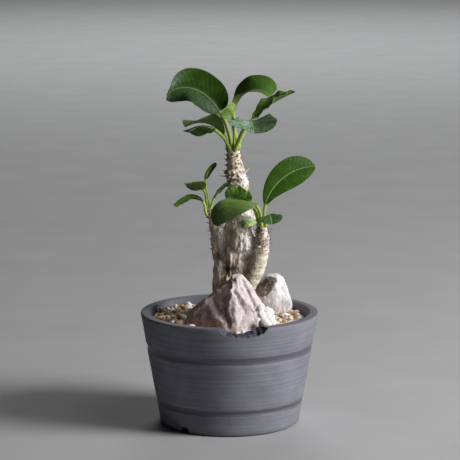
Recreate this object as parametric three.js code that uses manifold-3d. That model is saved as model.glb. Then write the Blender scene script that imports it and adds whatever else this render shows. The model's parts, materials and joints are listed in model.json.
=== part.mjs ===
// Potted pachypodium: a spiny three-stemmed plant with glossy leaves, set among
// rocks and gravel in a tapered, unglazed clay pot.
// Millimetres, +Z up, origin on the pot's axis at the level it stands on.
import * as THREE from "three";
import { mergeVertices } from "three/addons/utils/BufferGeometryUtils.js";
import Module from "manifold-3d";

const wasm = await Module();
wasm.setup();

// ---- driving dimensions ----
const POT_RIM_R = 45;          // outer radius at the rim
const POT_FOOT_R = 35.2;       // outer radius at the foot
const POT_HEIGHT = 56.4;
const POT_WALL = 4.6;
const POT_FLOOR = 5;           // thickness of the floor above the foot recess
const FOOT_RECESS = 2.2;       // depth of the hollow under the foot
const FOOT_RING = 5.5;         // width of the ring the pot stands on
const DRAIN_R = 6;
const GROOVE = 0.4;            // depth of the two painted bands
const POT_SIDES = 48;
const GAP = 0.3;               // clearance between separate pieces
const SOIL_TOP = 49.4;
const BED_TOP = 51.6;          // gravel bed, between its grains
const TRUNK_FOOT_Z = 40;       // how deep the trunk stands in the soil
const GRAINS = 104;

const rad = (d) => (d * Math.PI) / 180;
const lerp = (a, b, t) => a + (b - a) * t;
const clamp = (v, lo, hi) => Math.min(hi, Math.max(lo, v));
const V = (x, y, z) => new THREE.Vector3(x, y, z);

function seeded(seed) {
  let s = seed >>> 0;
  return () => {
    s = (s + 0x6d2b79f5) >>> 0;
    let t = Math.imul(s ^ (s >>> 15), 1 | s);
    t = (t + Math.imul(t ^ (t >>> 7), 61 | t)) ^ t;
    return ((t ^ (t >>> 14)) >>> 0) / 4294967296;
  };
}

// ---- solids ----
function toSolid(geometry) {
  const g = geometry.clone();
  for (const name of ["normal", "uv"]) if (g.getAttribute(name)) g.deleteAttribute(name);
  const m = mergeVertices(g, 1e-4);
  const index = Array.from(m.index.array);
  const tris = [];
  for (let i = 0; i < index.length; i += 3) {
    const [a, b, c] = [index[i], index[i + 1], index[i + 2]];
    if (a !== b && b !== c && a !== c) tris.push(a, b, c);
  }
  return new wasm.Manifold(new wasm.Mesh({
    numProp: 3,
    vertProperties: new Float32Array(m.getAttribute("position").array),
    triVerts: new Uint32Array(tris),
  }));
}

function toGeometry(solid) {
  const mesh = solid.getMesh();
  const g = new THREE.BufferGeometry();
  g.setAttribute("position", new THREE.BufferAttribute(new Float32Array(mesh.vertProperties), 3));
  g.setIndex(Array.from(mesh.triVerts));
  g.computeVertexNormals();
  return g;
}

function lathe(profile, sides = POT_SIDES) {
  const g = new THREE.LatheGeometry(profile.map(([r, z]) => new THREE.Vector2(r, z)), sides);
  g.rotateX(Math.PI / 2);
  return toSolid(g);
}

// A closed body from rings of equal length; the ends are closed by fans.
function skin(rings) {
  const n = rings[0].length;
  const pos = [];
  for (const ring of rings) for (const p of ring) pos.push(p.x, p.y, p.z);
  const tri = [];
  for (let i = 0; i < rings.length - 1; i += 1) {
    for (let j = 0; j < n; j += 1) {
      const a = i * n + j, b = i * n + ((j + 1) % n), c = a + n, d = b + n;
      tri.push(a, b, d, a, d, c);
    }
  }
  for (const [ring, flip] of [[0, true], [rings.length - 1, false]]) {
    const mid = rings[ring].reduce((s, p) => s.add(p), V(0, 0, 0)).divideScalar(n);
    const c = pos.length / 3;
    pos.push(mid.x, mid.y, mid.z);
    for (let j = 0; j < n; j += 1) {
      const a = ring * n + j, b = ring * n + ((j + 1) % n);
      if (flip) tri.push(c, b, a); else tri.push(c, a, b);
    }
  }
  const g = new THREE.BufferGeometry();
  g.setAttribute("position", new THREE.Float32BufferAttribute(pos, 3));
  g.setIndex(tri);
  return g;
}

// ---- the pot ----
function potRadius(z) {
  return lerp(POT_FOOT_R, POT_RIM_R, z / POT_HEIGHT);
}

function makePot() {
  const R = potRadius, H = POT_HEIGHT, g = GROOVE;
  const inner = (z) => R(z) - POT_WALL;
  const floorZ = FOOT_RECESS + POT_FLOOR;
  const outline = [
    [R(0) - 0.8, 0], [R(0.8), 0.8], [R(10.2), 10.2], [R(10.5) - g, 10.5], [R(13.2) - g, 13.2],
    [R(13.5), 13.5], [R(37.4), 37.4], [R(37.7) - g, 37.7], [R(40.9) - g, 40.9], [R(41.2), 41.2],
    [R(54), 54], [R(H) - 0.1, H - 1.5], [R(H) - 0.9, H - 0.4], [R(H) - 2.2, H],
    [inner(H) + 0.8, H - 0.5], [inner(54.4), 54.4], [inner(12), 12], [inner(9) - 1.6, floorZ + 0.6],
    [inner(8) - 4, floorZ], [DRAIN_R, floorZ], [DRAIN_R, FOOT_RECESS],
    [R(0) - FOOT_RING - 0.5, FOOT_RECESS], [R(0) - FOOT_RING, 0], [R(0) - 0.8, 0],
  ];
  let pot = lathe(outline);
  // two small arched notches in the foot ring, opposite each other
  for (const turn of [-129, 51]) {
    const arch = new THREE.CylinderGeometry(2.7, 2.7, 14, 16);
    arch.rotateZ(Math.PI / 2).translate(POT_FOOT_R - 2, 0, 0.5).rotateZ(rad(turn));
    pot = pot.subtract(toSolid(arch));
  }
  // a broken chip out of the rim: a shallow, lumpy scoop, flat along its bottom
  const chip = new THREE.SphereGeometry(1, 22, 12);
  const p = chip.getAttribute("position");
  const soft = (v, e) => Math.sign(v) * Math.abs(v) ** e;
  for (let i = 0; i < p.count; i += 1) {
    const [x, y, z] = [p.getX(i), p.getY(i), p.getZ(i)];
    const lump = 1 + 0.035 * Math.sin(7 * x + 4 * z) + 0.03 * Math.sin(11 * x + 1.3);
    p.setXYZ(i, 13.7 * soft(x, 0.72) * lump, 10.5 * soft(y, 0.9), 7 * soft(z, 0.72) * lump);
  }
  chip.translate(7.8, -2.6 - POT_RIM_R, 58.6);
  return pot.subtract(toSolid(chip));
}

// ---- stems ----
const TIP_TOP = V(2, 0, 139.4);
const TIP_LEFT = V(-10.4, -1.2, 110.2);
const TIP_RIGHT = V(16.3, -6, 101.4);
// centre line and radius, from the foot in the soil to the growing tip
const MAIN_STEM = [
  [0.5, 0.5, TRUNK_FOOT_Z, 6.5], [0.4, 0.5, 52, 9.6], [0, 0.4, 62, 8.6], [-0.6, 0.2, 70.7, 7.7],
  [0.3, 0, 77.3, 7.8], [2.6, 0, 84.5, 7.5], [3.9, 0, 92.7, 7.1], [5.2, 0, 105.4, 6.3],
  [5.2, 0, 113, 5.4], [4.1, 0, 120.8, 4.8], [3.3, 0, 127, 4.5], [2.6, 0, 131.4, 3.8],
  [2.1, 0, 135.6, 3.4], [2, 0, 138, 3.1],
];
const LEFT_STEM = [
  [-1.4, 0.2, 76, 4], [-4.4, -0.2, 83.5, 3.9], [-5.9, -0.6, 91, 3.4], [-7, -0.9, 98, 2.6],
  [-9, -1.1, 104, 1.8], [-10.4, -1.2, 109, 1.5],
];
const RIGHT_STEM = [
  [3, -1, 56, 5], [5.4, -2, 64, 5], [9, -3.4, 71, 4.9], [13.2, -4.8, 79, 4.6],
  [15.6, -5.6, 87.5, 4.1], [16.3, -6, 95, 3.4], [16.3, -6, 99.9, 2.9],
];

function limb(rows, sides, steps, rough, phase) {
  const line = new THREE.CatmullRomCurve3(rows.map(([x, y, z]) => V(x, y, z)));
  const at = (t) => {
    const f = t * (rows.length - 1), i = Math.min(rows.length - 2, Math.floor(f));
    const centre = line.getPoint(t), along = line.getTangent(t).normalize();
    const across = V(1, 0, 0).addScaledVector(along, -along.x).normalize();
    const away = along.clone().cross(across);
    return { centre, along, across, away, r: lerp(rows[i][3], rows[i + 1][3], f - i) };
  };
  const surface = (t, a, swell = 1) => {
    const { centre, across, away, r } = at(t);
    const ridge = Math.sin(5 * a + phase + 3 * t) * 0.45 + Math.sin(9 * a - 2 * phase - 5 * t) * 0.35;
    const rr = r * swell * (1 + rough * (ridge + 0.5 * Math.sin(17 * t + 2 * a + phase)));
    return centre.addScaledVector(across, rr * Math.cos(a)).addScaledVector(away, rr * Math.sin(a));
  };
  const rings = [];
  const ring = (t, swell) => {
    return Array.from({ length: sides }, (_, j) => surface(t, (j / sides) * 2 * Math.PI, swell));
  };
  for (let i = 0; i <= steps; i += 1) rings.push(ring(i / steps, 1));
  // a low dome closes the growing end
  const end = at(1);
  for (const [rise, swell] of [[0.28, 0.86], [0.42, 0.5]]) {
    rings.push(ring(1, swell).map((q) => q.addScaledVector(end.along, rise * end.r)));
  }
  return { solid: toSolid(skin(rings)), at, surface };
}

function spine(root, heading, length, width) {
  const g = new THREE.ConeGeometry(width, length + 0.9, 3, 1);
  g.translate(0, (length + 0.9) / 2 - 0.9, 0);
  g.applyQuaternion(new THREE.Quaternion().setFromUnitVectors(V(0, 1, 0), heading.clone().normalize()));
  g.translate(root.x, root.y, root.z);
  return toSolid(g);
}

// Spines stand in climbing rows round a stem, between two places along it.
function spinesOn(stem, from, to, rows, perRow, lengths, slope, seed) {
  const rnd = seeded(seed), out = [];
  for (let i = 0; i < rows; i += 1) {
    for (let j = 0; j < perRow; j += 1) {
      const t = lerp(from, to, (i + 0.25 + 0.5 * rnd()) / rows);
      const a = ((j + 0.5 * (i % 2) + 0.35 * (rnd() - 0.5)) / perRow) * 2 * Math.PI;
      const root = stem.surface(t, a), s = stem.at(t);
      const heading = root.clone().sub(s.centre).normalize();
      heading.addScaledVector(s.along, slope * (rnd() - 0.3)).normalize();
      out.push(spine(root, heading, lerp(...lengths, rnd()), 0.42));
    }
  }
  return out;
}

// A rounded boss of corky bark, set into the trunk.
function boss(x, y, z, rx, ry, rz) {
  const g = new THREE.IcosahedronGeometry(1, rx * ry * rz > 60 ? 2 : 1);
  g.scale(rx, ry, rz).translate(x, y, z);
  return toSolid(g);
}

function makeTrunk() {
  const main = limb(MAIN_STEM, 15, 26, 0.05, 0.4);
  const left = limb(LEFT_STEM, 10, 13, 0.05, 1.7);
  const right = limb(RIGHT_STEM, 12, 13, 0.05, 2.6);
  // bosses of old bark, ledges under the youngest growth, and the knots of fallen twigs
  const bosses = [
    boss(8.6, -3.6, 91.2, 4, 4.4, 6.6), boss(-4.6, -3.6, 78, 3.6, 4, 6),
    boss(9.8, -2.4, 103.5, 2.8, 3.2, 4.4), boss(8.4, -2.4, 77, 5.4, 4.4, 9),
    boss(-4.4, -1.2, 92, 3.4, 3.4, 8), boss(-7.4, -1.8, 86.8, 1.9, 2.2, 1.8),
    boss(5.2, -5.4, 80.5, 3.6, 3.4, 3.2), boss(2.3, -0.5, 128.3, 4.9, 4.6, 0.9),
    boss(4.6, -1.6, 127.2, 3.4, 3.2, 1.1), boss(2.4, -0.4, 125.2, 4.9, 4.9, 0.8),
    boss(5.8, -1.4, 122.6, 3.4, 3.6, 2.4), boss(6.4, -1.2, 118.2, 2.9, 3.4, 2.6),
  ];
  const spines = [
    ...spinesOn(main, 0.77, 0.985, 9, 9, [1.3, 2.6], 0.9, 11),
    ...spinesOn(main, 0.735, 0.79, 2, 7, [2.8, 4.2], 0.5, 19),
    ...spinesOn(main, 0.5, 0.73, 4, 6, [1.2, 2.4], 0.8, 23),
    ...spinesOn(left, 0.5, 0.98, 7, 5, [1, 2], 0.8, 37),
    ...spinesOn(right, 0.62, 0.97, 5, 7, [1.1, 2.1], 0.8, 41),
  ];
  return wasm.Manifold.union([main.solid, left.solid, right.solid, ...bosses, ...spines]);
}

// ---- rocks ----
// Each row is a level: height, then the left, right, front and back edges.
function rock(levels, corner, lump, seed) {
  const rnd = seeded(seed), sides = 18;
  const k = Array.from({ length: 6 }, () => rnd() * 6.283);
  const rings = levels.map(([z, xl, xr, yf, yb], i) => Array.from({ length: sides }, (_, j) => {
    const a = (j / sides) * 2 * Math.PI;
    const c = Math.sign(Math.cos(a)) * Math.abs(Math.cos(a)) ** corner;
    const s = Math.sign(Math.sin(a)) * Math.abs(Math.sin(a)) ** corner;
    const wave = Math.sin(3 * a + k[0] + 0.9 * i) + Math.sin(5 * a + k[1] - 1.3 * i);
    const w = lump * wave * (i > 0 ? 1 : 0.4);
    const tilt = i > 0 && i < levels.length - 1 ? lump * Math.sin(2 * a + k[2] + i) : 0;
    return V((xl + xr) / 2 + ((xr - xl) / 2 + w) * c, (yf + yb) / 2 + ((yb - yf) / 2 + w) * s, z + tilt);
  }));
  return skin(rings);
}

const FRONT_ROCK = [
  [SOIL_TOP + GAP, -20, 17, -34, -13], [53.2, -22, 21.4, -36.4, -11.4], [57, -23.2, 21.8, -35.6, -10.8],
  [61, -20.6, 20.2, -33.6, -11], [63.6, -16.4, 16.2, -31.6, -11.4], [67, -11.2, 14, -29.6, -11.8],
  [71, -6.6, 12.8, -27.4, -12.4], [75, -1.6, 10.4, -24.8, -13.8], [78, 1.8, 7.2, -22.6, -16.4],
  [79, 3.6, 5.4, -21, -18.4],
];
const BACK_ROCK = [
  [SOIL_TOP + GAP, 12, 29.8, 13, 26.4], [54, 10, 32, 11.4, 28.6], [58.6, 9.6, 31.8, 11, 28.4],
  [62.4, 10, 30.8, 12, 27.6], [66, 11.6, 29.6, 13.8, 26.4], [69.4, 15.6, 27.2, 15.6, 24.6],
  [71.2, 19.4, 24.2, 17.6, 22.6],
];

// The broken faces of the front rock: a point on each, and the way it looks.
const FRONT_BREAKS = [
  [[1.7, -24, 78], [0.46, -0.8, 0.39]], [[1.7, -24, 78], [-0.47, -0.82, 0.33]],
  [[-3.8, -18, 73.2], [-0.62, -0.05, 0.78]], [[6.7, -24, 75.3], [0.77, -0.38, 0.51]],
];

// Breaks the rock's faces flat, each at a reach beyond its place.
function breakFaces(solid, breaks, reach) {
  let left = solid;
  for (const [point, way] of breaks) {
    const n = V(...way).normalize();
    left = left.trimByPlane([-n.x, -n.y, -n.z], -(V(...point).dot(n) + reach));
  }
  return left;
}

// ---- gravel ----
function pebble(x, y, z, r, flat, turn, detail, rnd) {
  const ball = new THREE.IcosahedronGeometry(1, detail);
  const g = mergeVertices(ball.deleteAttribute("normal").deleteAttribute("uv"), 1e-4);
  const p = g.getAttribute("position");
  for (let i = 0; i < p.count; i += 1) {
    const f = 0.84 + 0.3 * rnd();
    p.setXYZ(i, p.getX(i) * f * r, p.getY(i) * f * r * 0.82, p.getZ(i) * f * r * flat);
  }
  g.rotateX(0.35 * Math.sin(turn * 3)).rotateZ(turn).translate(x, y, z);
  return g;
}

function makeGravel(keepOut) {
  const rnd = seeded(5), bedR = potRadius(BED_TOP) - POT_WALL - GAP;
  const sunk = potRadius(SOIL_TOP + GAP) - POT_WALL - GAP;
  const bed = lathe([[0, SOIL_TOP + GAP], [sunk, SOIL_TOP + GAP], [bedR, BED_TOP], [0, BED_TOP + 0.4]], 48);
  const grains = [];
  // grains fall on a sunflower spiral, so that they cover the bed evenly
  for (let i = 0; i < GRAINS; i += 1) {
    const r = (bedR - 2) * Math.sqrt((i + 0.6) / GRAINS), a = i * 2.39996 + 0.5 * (rnd() - 0.5);
    const size = lerp(1.8, 2.8, rnd());
    const rr = Math.min(r, bedR - size * 1.16 - 0.1), x = rr * Math.cos(a), y = rr * Math.sin(a);
    grains.push(toSolid(pebble(x, y, BED_TOP + 0.25, size, 0.66, rnd() * 6.3, 0, rnd)));
  }
  // one larger flat pebble lies behind the chip in the rim
  grains.push(toSolid(pebble(16.4, -31, 53, 3.5, 0.5, 0.2, 1, rnd)));
  let gravel = wasm.Manifold.union([bed, ...grains]);
  for (const hole of keepOut) gravel = gravel.subtract(hole);
  return gravel;
}

// ---- leaves ----
// Half width along the blade, from the stalk to the tip, as a share of its widest.
function halfWidth(u, [a, b]) {
  const q = a / (a + b), v = clamp(u, 1e-6, 1);
  return (v ** a * (1 - v) ** b) / (q ** a * (1 - q) ** b);
}

// sits: angle round the tip, distance from its axis, height. turn, climb: compass angle
// and rise of the midrib at the foot and at the leaf's end. roll: turn about the midrib
// at the blade's foot, added halfway, and at its end. fold: rise of the left and right
// halves. cup: droop of the margins. full: how slowly the blade widens and how bluntly it
// ends. share: how much wider the left half is. wave: height, count and phase of the
// ripples along the margin.
const LEAVES = {
  leaf_top_large: {
    sits: [108, 2.7, 0], turn: [101.4, 204.1], climb: [56.4, -46.1], ease: 2.96, stalk: 19.1,
    blade: 34.5, wide: 22.5, roll: [-35.7, 29.6, -94.5], fold: [11, 30.5], cup: -0.04,
    full: [0.62, 0.89], share: 0.07, wave: [0.3, 2, 0], thick: 1,
  },
  leaf_top_arched: {
    sits: [-15, 2.8, 0.4], turn: [-19.4, -13.8], climb: [108.2, -50.9], ease: 1.98, stalk: 16.5,
    blade: 26.7, wide: 21, roll: [9.4, 13.2, 27.9], fold: [10.9, 38.6], cup: 0.02,
    full: [0.85, 0.29], share: -0.04, wave: [0.3, 2, 1], thick: 1,
  },
  leaf_top_narrow: {
    sits: [50, 2.7, 0], turn: [54.6, -20.7], climb: [60.7, 22.7], ease: 0.87, stalk: 15.3,
    blade: 27.7, wide: 8.7, roll: [52.6, -4.7, -6.8], fold: [32.8, 31.8], cup: 0,
    full: [1.11, 0.93], share: 0.13, wave: [0.8, 3, 0.5], thick: 1,
  },
  leaf_top_forward: {
    sits: [-68, 2.7, 0], turn: [-48.8, -88.2], climb: [59.2, -62.4], ease: 2.12, stalk: 22.1,
    blade: 12.7, wide: 24.8, roll: [-1.8, 14.4, -9.2], fold: [12.6, 21.7], cup: -0.02,
    full: [1.17, 0.59], share: -0.04, wave: [0.8, 2.6, 2], thick: 1,
  },
  leaf_top_young: {
    sits: [-90, 0.7, 0.5], turn: [-77.1, -123.7], climb: [71.1, -31.4], ease: 2.06, stalk: 18.4,
    blade: 18.3, wide: 9.4, roll: [46.1, 19.9, 2.6], fold: [31.5, 15.8], cup: 0.16,
    full: [0.56, 1.08], share: -0.19, wave: [0.2, 2, 0], thick: 0.65,
  },
  leaf_top_low_pale: {
    sits: [180, 2.7, 0], turn: [208.9, 212.6], climb: [84.4, -24], ease: 0.87, stalk: 6.7,
    blade: 25.2, wide: 19.7, roll: [-20.3, 24.2, 1.2], fold: [6.5, 14.8], cup: -0.07,
    full: [1.07, 0.72], share: 0.08, wave: [0.5, 2, 1], thick: 0.95,
  },
  leaf_top_lowest: {
    sits: [-128, 2.8, -0.2], turn: [222.3, 233.5], climb: [61.4, -21.6], ease: 1.02, stalk: 14.3,
    blade: 20.5, wide: 11.7, roll: [-72.8, 34.2, -15.8], fold: [-14.1, -10.7], cup: 0.14,
    full: [1.03, 0.38], share: -0.03, wave: [0.4, 2, 0], thick: 0.9,
  },
  leaf_left_upright: {
    sits: [70, 1.8, 0.2], turn: [0.5, 35.8], climb: [106.3, 7.3], ease: 2.44, stalk: 12.9,
    blade: 10.8, wide: 4.3, roll: [71.2, 19.4, 92.5], fold: [38.2, 6.7], cup: 0.09,
    full: [0.8, 0.61], share: 0.05, wave: [0.1, 1, 0], thick: 0.65,
  },
  leaf_left_middle: {
    sits: [178, 1.6, 0.2], turn: [-145.6, -153.9], climb: [108.2, -16.9], ease: 0.98, stalk: 8.2,
    blade: 12.2, wide: 12, roll: [44.8, 10.5, -8.6], fold: [-1.5, 2.2], cup: 0.16,
    full: [1.13, 0.93], share: 0.03, wave: [0.3, 2, 0], thick: 0.6,
  },
  leaf_left_drooping: {
    sits: [225, 2.4, -2.2], turn: [237.6, 195.1], climb: [95, -50.9], ease: 0.77, stalk: 4.5,
    blade: 19.8, wide: 5, roll: [44.2, 0.1, 46.9], fold: [17.4, 14.6], cup: 0.38,
    full: [1.21, 0.42], share: -0.1, wave: [0.3, 2, 1], thick: 0.6,
  },
  leaf_left_inner: {
    sits: [-30, 1.4, 0.1], turn: [-59.5, -17.1], climb: [62.5, 32.7], ease: 1.41, stalk: 4.7,
    blade: 12.1, wide: 4.8, roll: [22.8, 11.2, -4.3], fold: [-8.7, 36.7], cup: 0.36,
    full: [1.36, 0.65], share: 0.16, wave: [0.2, 2, 0], thick: 0.6,
  },
  leaf_right_large: {
    sits: [35, 2, 0.4], turn: [19.3, 27.7], climb: [109.7, -5.6], ease: 0.77, stalk: 8.3,
    blade: 37, wide: 15.3, roll: [53.7, 20.4, 48.1], fold: [22.8, 17], cup: 0.21,
    full: [1.1, 0.71], share: 0.03, wave: [0.25, 1.5, 0], thick: 0.85,
  },
  leaf_right_drooping: {
    sits: [-105, 2.2, 0.4], turn: [-107.4, -148.1], climb: [100.3, -52.6], ease: 0.65, stalk: 11.7,
    blade: 33.8, wide: 23.4, roll: [-2.8, -12.4, 8], fold: [5.5, -8.5], cup: -0.05,
    full: [1.23, 0.55], share: -0.02, wave: [0.3, 1.5, 2], thick: 0.85,
  },
  leaf_right_inner: {
    sits: [175, 2, 0], turn: [255.9, 192.7], climb: [78.8, 8.8], ease: 0.82, stalk: 13.7,
    blade: 16.7, wide: 11.5, roll: [31.3, -2.2, 46], fold: [-0.5, -6.9], cup: -0.1,
    full: [0.9, 0.48], share: -0.01, wave: [0.7, 3, 0], thick: 0.8,
  },
  leaf_right_small_pale: {
    sits: [-150, 5.2, -2.4], turn: [-95.3, -122.3], climb: [94.9, -52.9], ease: 0.83, stalk: 7,
    blade: 12.7, wide: 7.9, roll: [-5.5, -13.1, 27.6], fold: [4.2, 0.9], cup: 0.32,
    full: [0.92, 0.54], share: 0.17, wave: [0.35, 2, 0], thick: 0.6,
  },
  leaf_right_small_round: {
    sits: [-40, 2.2, 0], turn: [-67.5, -79.2], climb: [82.5, -72.6], ease: 1.16, stalk: 8.3,
    blade: 7.2, wide: 12, roll: [16.1, -3.9, 13.8], fold: [12.8, 17.1], cup: 0.13,
    full: [0.97, 0.7], share: -0.08, wave: [0.4, 2, 1], thick: 0.7,
  },
};
const TIPS = { top: TIP_TOP, left: TIP_LEFT, right: TIP_RIGHT };

function makeLeaf(leaf, at) {
  const { sits, turn, climb, ease, stalk, blade, wide, roll, fold, cup, full, share, wave, thick } = leaf;
  const total = stalk + blade, steps = 60, mid = [];
  const foot = at.clone().add(V(sits[1] * Math.cos(rad(sits[0])), sits[1] * Math.sin(rad(sits[0])), sits[2]));
  const heading = (s) => {
    const a = rad(lerp(turn[0], turn[1], s)), e = rad(lerp(climb[0], climb[1], s ** ease));
    return { a, dir: V(Math.cos(e) * Math.cos(a), Math.cos(e) * Math.sin(a), Math.sin(e)) };
  };
  mid.push(foot.clone());
  for (let i = 0; i < steps; i += 1) {
    mid.push(mid[i].clone().addScaledVector(heading((i + 0.5) / steps).dir, total / steps));
  }
  const place = (s) => {
    const f = s * steps, i = Math.min(steps - 1, Math.floor(f));
    return mid[i].clone().lerp(mid[i + 1], f - i);
  };
  const across = [1, 0.5, 0, -0.5, -1];
  const rows = blade > 20 ? 12 : 9, stalkRows = stalk > 12 ? 4 : 3;
  const stations = [];
  for (let i = 0; i < stalkRows; i += 1) stations.push((stalk * i) / stalkRows / total);
  for (let i = 0; i <= rows; i += 1) {
    stations.push((stalk + blade * (1 - (1 - (0.992 * i) / rows) ** 1.25)) / total);
  }
  const rings = stations.map((s) => {
    const u = clamp((s * total - stalk) / blade, 0, 1), { a, dir } = heading(s);
    const side = V(-Math.sin(a), Math.cos(a), 0), up = dir.clone().cross(side);
    const r = rad(lerp(roll[0], roll[2], u) + 4 * roll[1] * u * (1 - u));
    const S = side.clone().multiplyScalar(Math.cos(r)).addScaledVector(up, Math.sin(r));
    const N = side.clone().multiplyScalar(-Math.sin(r)).addScaledVector(up, Math.cos(r));
    const half = (wide / 2) * halfWidth(u, full);
    const stem = thick * lerp(1, 0.45, clamp(u * 2.2, 0, 1));
    const h = Math.max(half, stem), k = clamp(half / (stem * 2.5), 0, 1);
    const top = [], bottom = [];
    for (const t of across) {
      const f = rad(t > 0 ? fold[0] : fold[1]) * k;
      const ripple = wave[0] * Math.sin(2 * Math.PI * wave[1] * u + wave[2] + (t > 0 ? 0 : 2)) * t * t * k;
      const w = h * (1 + share * t * k);
      const p = place(s).addScaledVector(S, w * t * Math.cos(f));
      p.addScaledVector(N, w * Math.abs(t) * Math.sin(f) + ripple - cup * h * t * t * k);
      const flesh = lerp(stem * Math.sqrt(1 - 0.9 * t * t), 0.34 + 0.25 * (1 - Math.abs(t)), k * k);
      const keel = t === 0 ? stem * 0.5 * k : 0;
      top.push(p.clone().addScaledVector(N, flesh));
      bottom.push(p.clone().addScaledVector(N, -flesh - keel));
    }
    return [...top, ...bottom.reverse()];
  });
  return leafSkin(rings, across.length);
}

// Both faces of a blade are split along the same diagonals.
function leafSkin(rings, m) {
  const n = 2 * m, pos = [], tri = [];
  for (const ring of rings) for (const p of ring) pos.push(p.x, p.y, p.z);
  const quad = (a, b, c, d) => tri.push(a, b, d, a, d, c);
  for (let i = 0; i < rings.length - 1; i += 1) {
    for (let j = 0; j < n; j += 1) {
      const a = i * n + j, b = i * n + ((j + 1) % n);
      if (j < m) quad(a, b, a + n, b + n);
      else tri.push(a, b, a + n, b, b + n, a + n);
    }
  }
  const end = (rings.length - 1) * n;
  for (let j = 0; j < m - 1; j += 1) {
    const [a, b, c, d] = [j, j + 1, n - 2 - j, n - 1 - j];
    tri.push(a, c, b, a, d, c, end + a, end + b, end + c, end + a, end + c, end + d);
  }
  const g = new THREE.BufferGeometry();
  g.setAttribute("position", new THREE.Float32BufferAttribute(pos, 3));
  g.setIndex(tri);
  return g;
}

// ---- the assembly ----
const finish = (color, roughness) => new THREE.MeshStandardMaterial({ color, roughness });
const LOOKS = {
  clay: finish(0x56555d, 0.75), soil: finish(0x3a2f26, 1), gravel: finish(0xb9a688, 0.95),
  dark_rock: finish(0x8d7b78, 0.9), pale_rock: finish(0xcfc8bd, 0.9), white_stone: finish(0xe4e2dc, 0.85),
  bark: finish(0x9b8f86, 0.95), leaf: finish(0x2f5a1c, 0.35),
};

const group = new THREE.Group();
function add(name, geometry, look) {
  const mesh = new THREE.Mesh(geometry, LOOKS[look]);
  mesh.name = name;
  group.add(mesh);
}

const soilR = (z) => potRadius(z) - POT_WALL - GAP;
const floorTop = FOOT_RECESS + POT_FLOOR + GAP;
const trunk = makeTrunk();
const trunkHole = (reach) => {
  const rows = MAIN_STEM.slice(0, 3).map(([x, y, z, r]) => [x, y, z, r + reach]);
  rows[0][2] -= reach;
  rows[2] = [3, -0.4, 66, 13.5];
  return limb(rows, 18, 6, 0, 0).solid;
};
let soil = lathe([
  [0, floorTop], [soilR(9) - 4.4, floorTop], [soilR(12) - 1.9, 9.4], [soilR(12.5), 12.5],
  [soilR(SOIL_TOP), SOIL_TOP], [0, SOIL_TOP],
], 48);
soil = soil.subtract(trunkHole(0.9));

const rocks = [
  [rock(FRONT_ROCK, 0.8, 0.55, 3), FRONT_BREAKS], [rock(BACK_ROCK, 0.85, 0.5, 9), []],
];
const [frontRock, backRock] = rocks.map(([g, breaks]) => breakFaces(toSolid(g), breaks, 0));
// the bed has a plain socket for each stone that sits in it
const sockets = rocks.map(([g, breaks]) => {
  const c = g.clone();
  c.computeBoundingBox();
  const mid = c.boundingBox.getCenter(V(0, 0, 0)), size = c.boundingBox.getSize(V(0, 0, 0));
  c.translate(-mid.x, -mid.y, -mid.z).scale(1 + 1.3 / size.x, 1 + 1.3 / size.y, 1 + 1.6 / size.z);
  return breakFaces(toSolid(c.translate(mid.x, mid.y, mid.z)), breaks, 0.65);
});

add("pot", toGeometry(makePot()), "clay");
add("soil", toGeometry(soil), "soil");
add("gravel_top_dressing", toGeometry(makeGravel([...sockets, trunkHole(1.2)])), "gravel");
add("rock_front", toGeometry(frontRock), "dark_rock");
add("rock_back", toGeometry(backRock), "pale_rock");
add("trunk", toGeometry(trunk), "bark");
for (const [name, leaf] of Object.entries(LEAVES)) {
  const geometry = makeLeaf(leaf, TIPS[name.split("_")[1]]);
  add(name, toGeometry(toSolid(geometry)), "leaf");
}

export default group;
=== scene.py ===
import json
from math import cos, hypot, pi, radians, sin, sqrt

import bpy
import numpy as np
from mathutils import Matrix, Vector, noise

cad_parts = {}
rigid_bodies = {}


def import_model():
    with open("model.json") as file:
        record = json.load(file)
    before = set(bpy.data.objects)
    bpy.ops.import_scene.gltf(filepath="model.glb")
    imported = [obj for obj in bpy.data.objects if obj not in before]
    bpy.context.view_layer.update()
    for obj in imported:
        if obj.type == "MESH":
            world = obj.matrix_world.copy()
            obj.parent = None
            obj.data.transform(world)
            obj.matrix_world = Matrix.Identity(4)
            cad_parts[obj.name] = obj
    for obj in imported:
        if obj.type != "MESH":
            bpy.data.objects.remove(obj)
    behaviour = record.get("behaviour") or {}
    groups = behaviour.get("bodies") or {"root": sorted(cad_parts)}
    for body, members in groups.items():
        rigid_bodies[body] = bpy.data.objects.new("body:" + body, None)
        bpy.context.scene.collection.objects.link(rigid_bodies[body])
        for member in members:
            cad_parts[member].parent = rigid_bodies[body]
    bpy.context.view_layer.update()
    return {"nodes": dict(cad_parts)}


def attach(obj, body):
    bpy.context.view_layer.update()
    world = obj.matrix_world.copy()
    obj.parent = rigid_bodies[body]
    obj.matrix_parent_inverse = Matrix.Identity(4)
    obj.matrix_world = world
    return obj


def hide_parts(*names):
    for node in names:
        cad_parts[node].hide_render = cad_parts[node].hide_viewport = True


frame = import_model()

MM = 0.001

# ---- sizes, in millimetres ----
POT_RIM, POT_FOOT, POT_HIGH, POT_WALL = 45.0, 35.2, 56.4, 4.6
FOOT_RECESS, POT_FLOOR, FOOT_RING, DRAIN = 2.2, 5.0, 5.5, 6.0
NOTCHES, NOTCH_RADIUS = (-129, 51), 2.7
CHIP_AT, CHIP_HALF = (7.8, -47.6, 58.6), (13.7, 10.5, 7.0)
SOIL_TOP, BED_TOP = 49.4, 51.6
BARK_VOXEL, FRONT_VOXEL, BACK_VOXEL = 0.4, 0.45, 0.5
TIPS = {"top": (2, 0, 139.4), "left": (-10.4, -1.2, 110.2), "right": (16.3, -6, 101.4)}

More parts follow.
